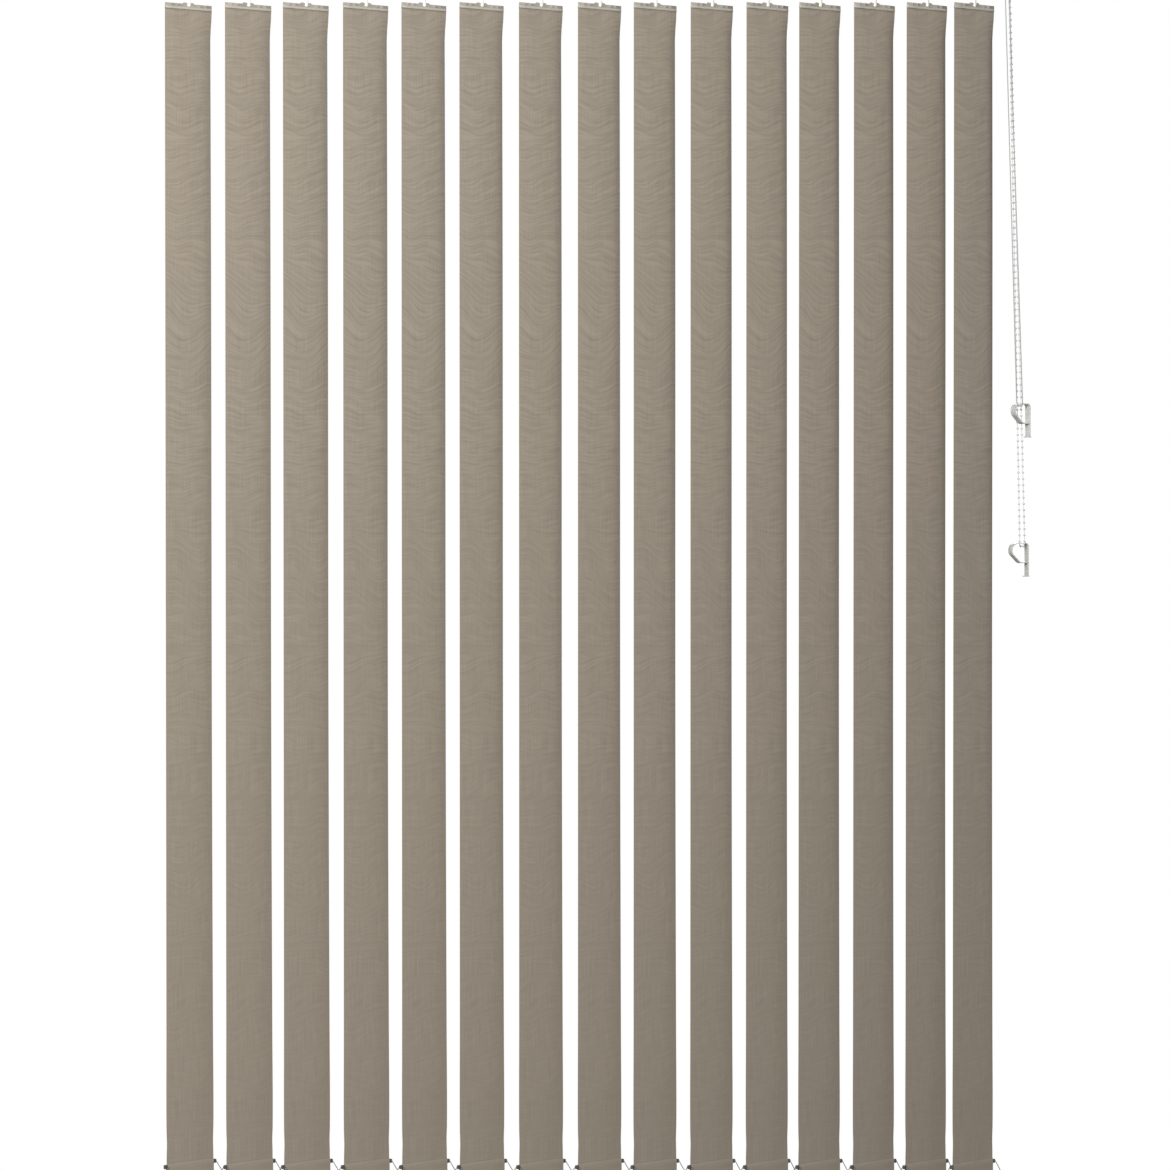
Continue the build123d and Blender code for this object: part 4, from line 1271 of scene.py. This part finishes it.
@dataclass
class Vanes:
    """The fifteen vanes, each one cloth, hanger, stem, weight and pair of clips."""

    def build(self, carriers: Sequence[float]) -> None:
        """Model one vane and hang a copy of it at each carrier.

        Args:
            carriers: the carriers' places along the rail, in millimetres.
        """
        cloth_maker, weight_maker = VaneCloth(), HemWeight()
        cloth = cloth_maker.make()
        hanger = VaneHanger().make()
        stem = TiltStem().make()
        weight = weight_maker.strip()
        clips = joined("hem_clips", [weight_maker.clip(-1), weight_maker.clip(1)])
        kinds = (
            (hanger, "vane_hanger", HANGER_PLASTIC, "white_plastic"),
            (stem, "vane_stem", ACETAL, "white_acetal"),
            (weight, "vane_weight", WEIGHT_STEEL, "spring_steel"),
            (clips, "vane_clips", CLIP_NYLON, "grey_chain"),
        )
        for number, x in zip(VANE_NUMBERS, carriers):
            place = Matrix.Translation((x * MM, 0, 0)) @ Matrix.Rotation(VANE_ANGLE, 4, "Z")
            node = f"vane_{number:02d}"
            for pattern, name, finish, slot in kinds:
                part = copy_at(pattern, f"{name}_{number:02d}", place)
                install(part, finish.material(), node, [node])
            sheet = copy_at(cloth, f"vane_cloth_{number:02d}", place)
            install(sheet, VANE_CLOTH.material(), node, [node])
            cloth_maker.cut * MM
        discard(cloth, hanger, stem, weight, clips)


# ---------------------------------------------------------------- mechanism
@dataclass
class WormThreads:
    """The thread on each carrier's worm, which meshes with the wheel of the vane's stem."""

    root: float = 3.85
    outer: float = 5.55
    base_half: float = 0.62
    tip_half: float = 0.3
    pitch: float = 2.8274
    turns: int = 3
    steps: int = 20
    first: float = -3.892
    axis_y: float = 9.5
    axis_z: float = -15.5

    def make(self) -> bpy.types.Object:
        """One thread on an axis through the origin."""
        profile = Workpiece("worm_thread", bpy.ops.mesh.primitive_circle_add, vertices=4, radius=1.0)
        corners = [
            (-self.base_half, self.root),
            (self.base_half, self.root),
            (self.tip_half, self.outer),
            (-self.tip_half, self.outer),
        ]
        for vertex, (x, y) in zip(profile.obj.data.vertices, corners):
            vertex.co = Vector((x + self.first, y, 0.0)) * MM
        profile.modify(
            "SCREW",
            axis="X",
            angle=math.radians(360 * self.turns),
            screw_offset=self.pitch * self.turns * MM,
            steps=self.steps * self.turns,
            render_steps=self.steps * self.turns,
            use_normal_calculate=True,
        )
        profile.all().select_open_edges()
        bpy.ops.mesh.edge_face_add()
        return profile.close_up()

    def build(self, carriers: Sequence[float]) -> None:
        """Put a thread on each worm."""
        thread = self.make()
        for number, x in zip(VANE_NUMBERS, carriers):
            place = Matrix.Translation(Vector((x, self.axis_y, self.axis_z)) * MM)
            part = copy_at(thread, f"worm_thread_{number:02d}", place)
            install(part, ACETAL.material(), f"worm_{number:02d}")
        discard(thread)


class Hardware:
    """The CAD nodes that stay: each keeps its shape and gets its real finish."""

    FINISHES = (
        (("headrail",), RAIL_ENAMEL),
        (("end_cap", "control_housing"), HOUSING_ABS),
        (("mounting_brackets",), BRACKET_STEEL),
        (("idler_pulley", "drop_pulley_outer", "drop_pulley_inner", "chain_wheel"), ACETAL),
        (("tilt_rod",), ROD_ALUMINIUM),
        (("p_clip_upper", "p_clip_lower"), CLIP_STRIP),
        (tuple(f"carrier_{number:02d}" for number in VANE_NUMBERS), ACETAL),
        (tuple(f"worm_{number:02d}" for number in VANE_NUMBERS), ACETAL),
    )

    def build(self) -> None:
        """Give each node its finish, in its own material slots."""
        for names, finish in self.FINISHES:
            for name in names:
                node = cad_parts[name]
                node.data.materials.clear()
                node.data.materials.append(finish.material())
                log.info("%s finished in %s", name, finish.name)


# ---------------------------------------------------------------- room
@dataclass
class Studio:
    """A pale floor, a white surround, soft light and the camera."""

    floor_z: float = -2345.0
    floor_size: float = 3600.0
    floor_back: float = 440.0  # past this the floor would show under the hems
    camera_x: float = -17.0
    camera_z: float = -936.0
    distance: float = 11000.0
    centre_z: float = -1165.2
    seen: float = 2234.7
    sensor: float = 36.0
    surround_light: float = 0.12
    # each lamp's name, place, aim and size in metres, power in watts, and colour
    lamps: tuple[tuple, ...] = (
        ("key_softbox", (-0.8, -5.4, 0.8), (0, 0, -0.4), 2.4, 563.0, "#FFFDF8"),
        ("fill_softbox", (3.6, -5.2, -0.4), (0, 0, -1.2), 2.6, 22.0, "#FBFCFF"),
        ("rear_softbox", (1.5, 4.5, 0.8), (0, 0, -1.0), 3.0, 210.0, "#FFFFFF"),
    )

    def camera(self) -> None:
        """The camera: far off, so that the vanes look alike, a little above the middle, aimed down at it."""
        data = bpy.data.cameras.new("camera")
        made = bpy.data.objects.new("camera", data)
        bpy.context.scene.collection.objects.link(made)
        place = Vector((self.camera_x, -self.distance, self.camera_z)) * MM
        aim = Vector((self.camera_x, 0, self.centre_z)) * MM
        made.location = place
        made.rotation_euler = (aim - place).to_track_quat("-Z", "Y").to_euler()
        data.sensor_width = self.sensor
        data.lens = self.sensor * self.distance / self.seen
        data.clip_end = 100.0
        bpy.context.scene.camera = made

    def floor(self) -> None:
        """A plain floor under the blind."""
        floor = Workpiece(
            "floor",
            bpy.ops.mesh.primitive_plane_add,
            size=self.floor_size,
            location=(0, self.floor_back - self.floor_size / 2, self.floor_z),
        )
        floor.all(Pick.EDGES)
        bpy.ops.mesh.subdivide(number_cuts=3)
        made = floor.close_up()
        made.data.materials.append(FLOOR_PAINT.material())
        made.visible_diffuse = False  # so that it doesn't light the hems from below

    def light(
        self, name: str, place: Sequence[float], aim: Sequence[float], size: float, power: float, tint: str
    ) -> None:
        """A large soft lamp.

        Args:
            name: the lamp's name.
            place: where it stands, in metres.
            aim: the point it faces, in metres.
            size: the width of its square face, in metres.
            power: its power in watts.
            tint: its colour.
        """
        data = bpy.data.lights.new(name, "AREA")
        data.size = size
        data.energy = power
        data.color = srgb(tint)[:3]
        made = bpy.data.objects.new(name, data)
        bpy.context.scene.collection.objects.link(made)
        made.location = place
        made.rotation_euler = (Vector(aim) - Vector(place)).to_track_quat("-Z", "Y").to_euler()

    def surround(self) -> None:
        """A white surround: full white where it is seen, softer where it only lights the blind."""
        world = bpy.data.worlds.new("white_surround")
        bpy.context.scene.world = world
        world.use_nodes = True
        tree = world.node_tree
        tree.nodes.clear()
        seen = add_node(tree, "ShaderNodeLightPath")
        inputs = {"Value": seen.outputs["Is Camera Ray"], "To Min": self.surround_light, "To Max": 1.0}
        strength = add_node(tree, "ShaderNodeMapRange", inputs).outputs["Result"]
        inputs = {"Color": (1.0, 1.0, 1.0, 1.0), "Strength": strength}
        glow = add_node(tree, "ShaderNodeBackground", inputs)
        add_node(tree, "ShaderNodeOutputWorld", {"Surface": glow.outputs["Background"]})

    def build(self) -> None:
        """Set up the room."""
        self.camera()
        self.floor()
        self.surround()
        for lamp in self.lamps:
            self.light(*lamp)
        bpy.context.scene.view_settings.view_transform = "Standard"


def main() -> None:
    """Build the blind's looks in order, and report each piece."""
    logging.basicConfig(level=logging.INFO, format="%(message)s")
    carriers = []
    for number in VANE_NUMBERS:
        low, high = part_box(f"vane_{number:02d}")
        carriers.append((low.x + high.x) / 2 / MM)
    Studio().build()
    DrawCord().build()
    TiltChain().build()
    HemChains().build(carriers)
    Vanes().build(carriers)
    WormThreads().build(carriers)
    Hardware().build()
    deselect_all()


if __name__ == "__main__":
    main()
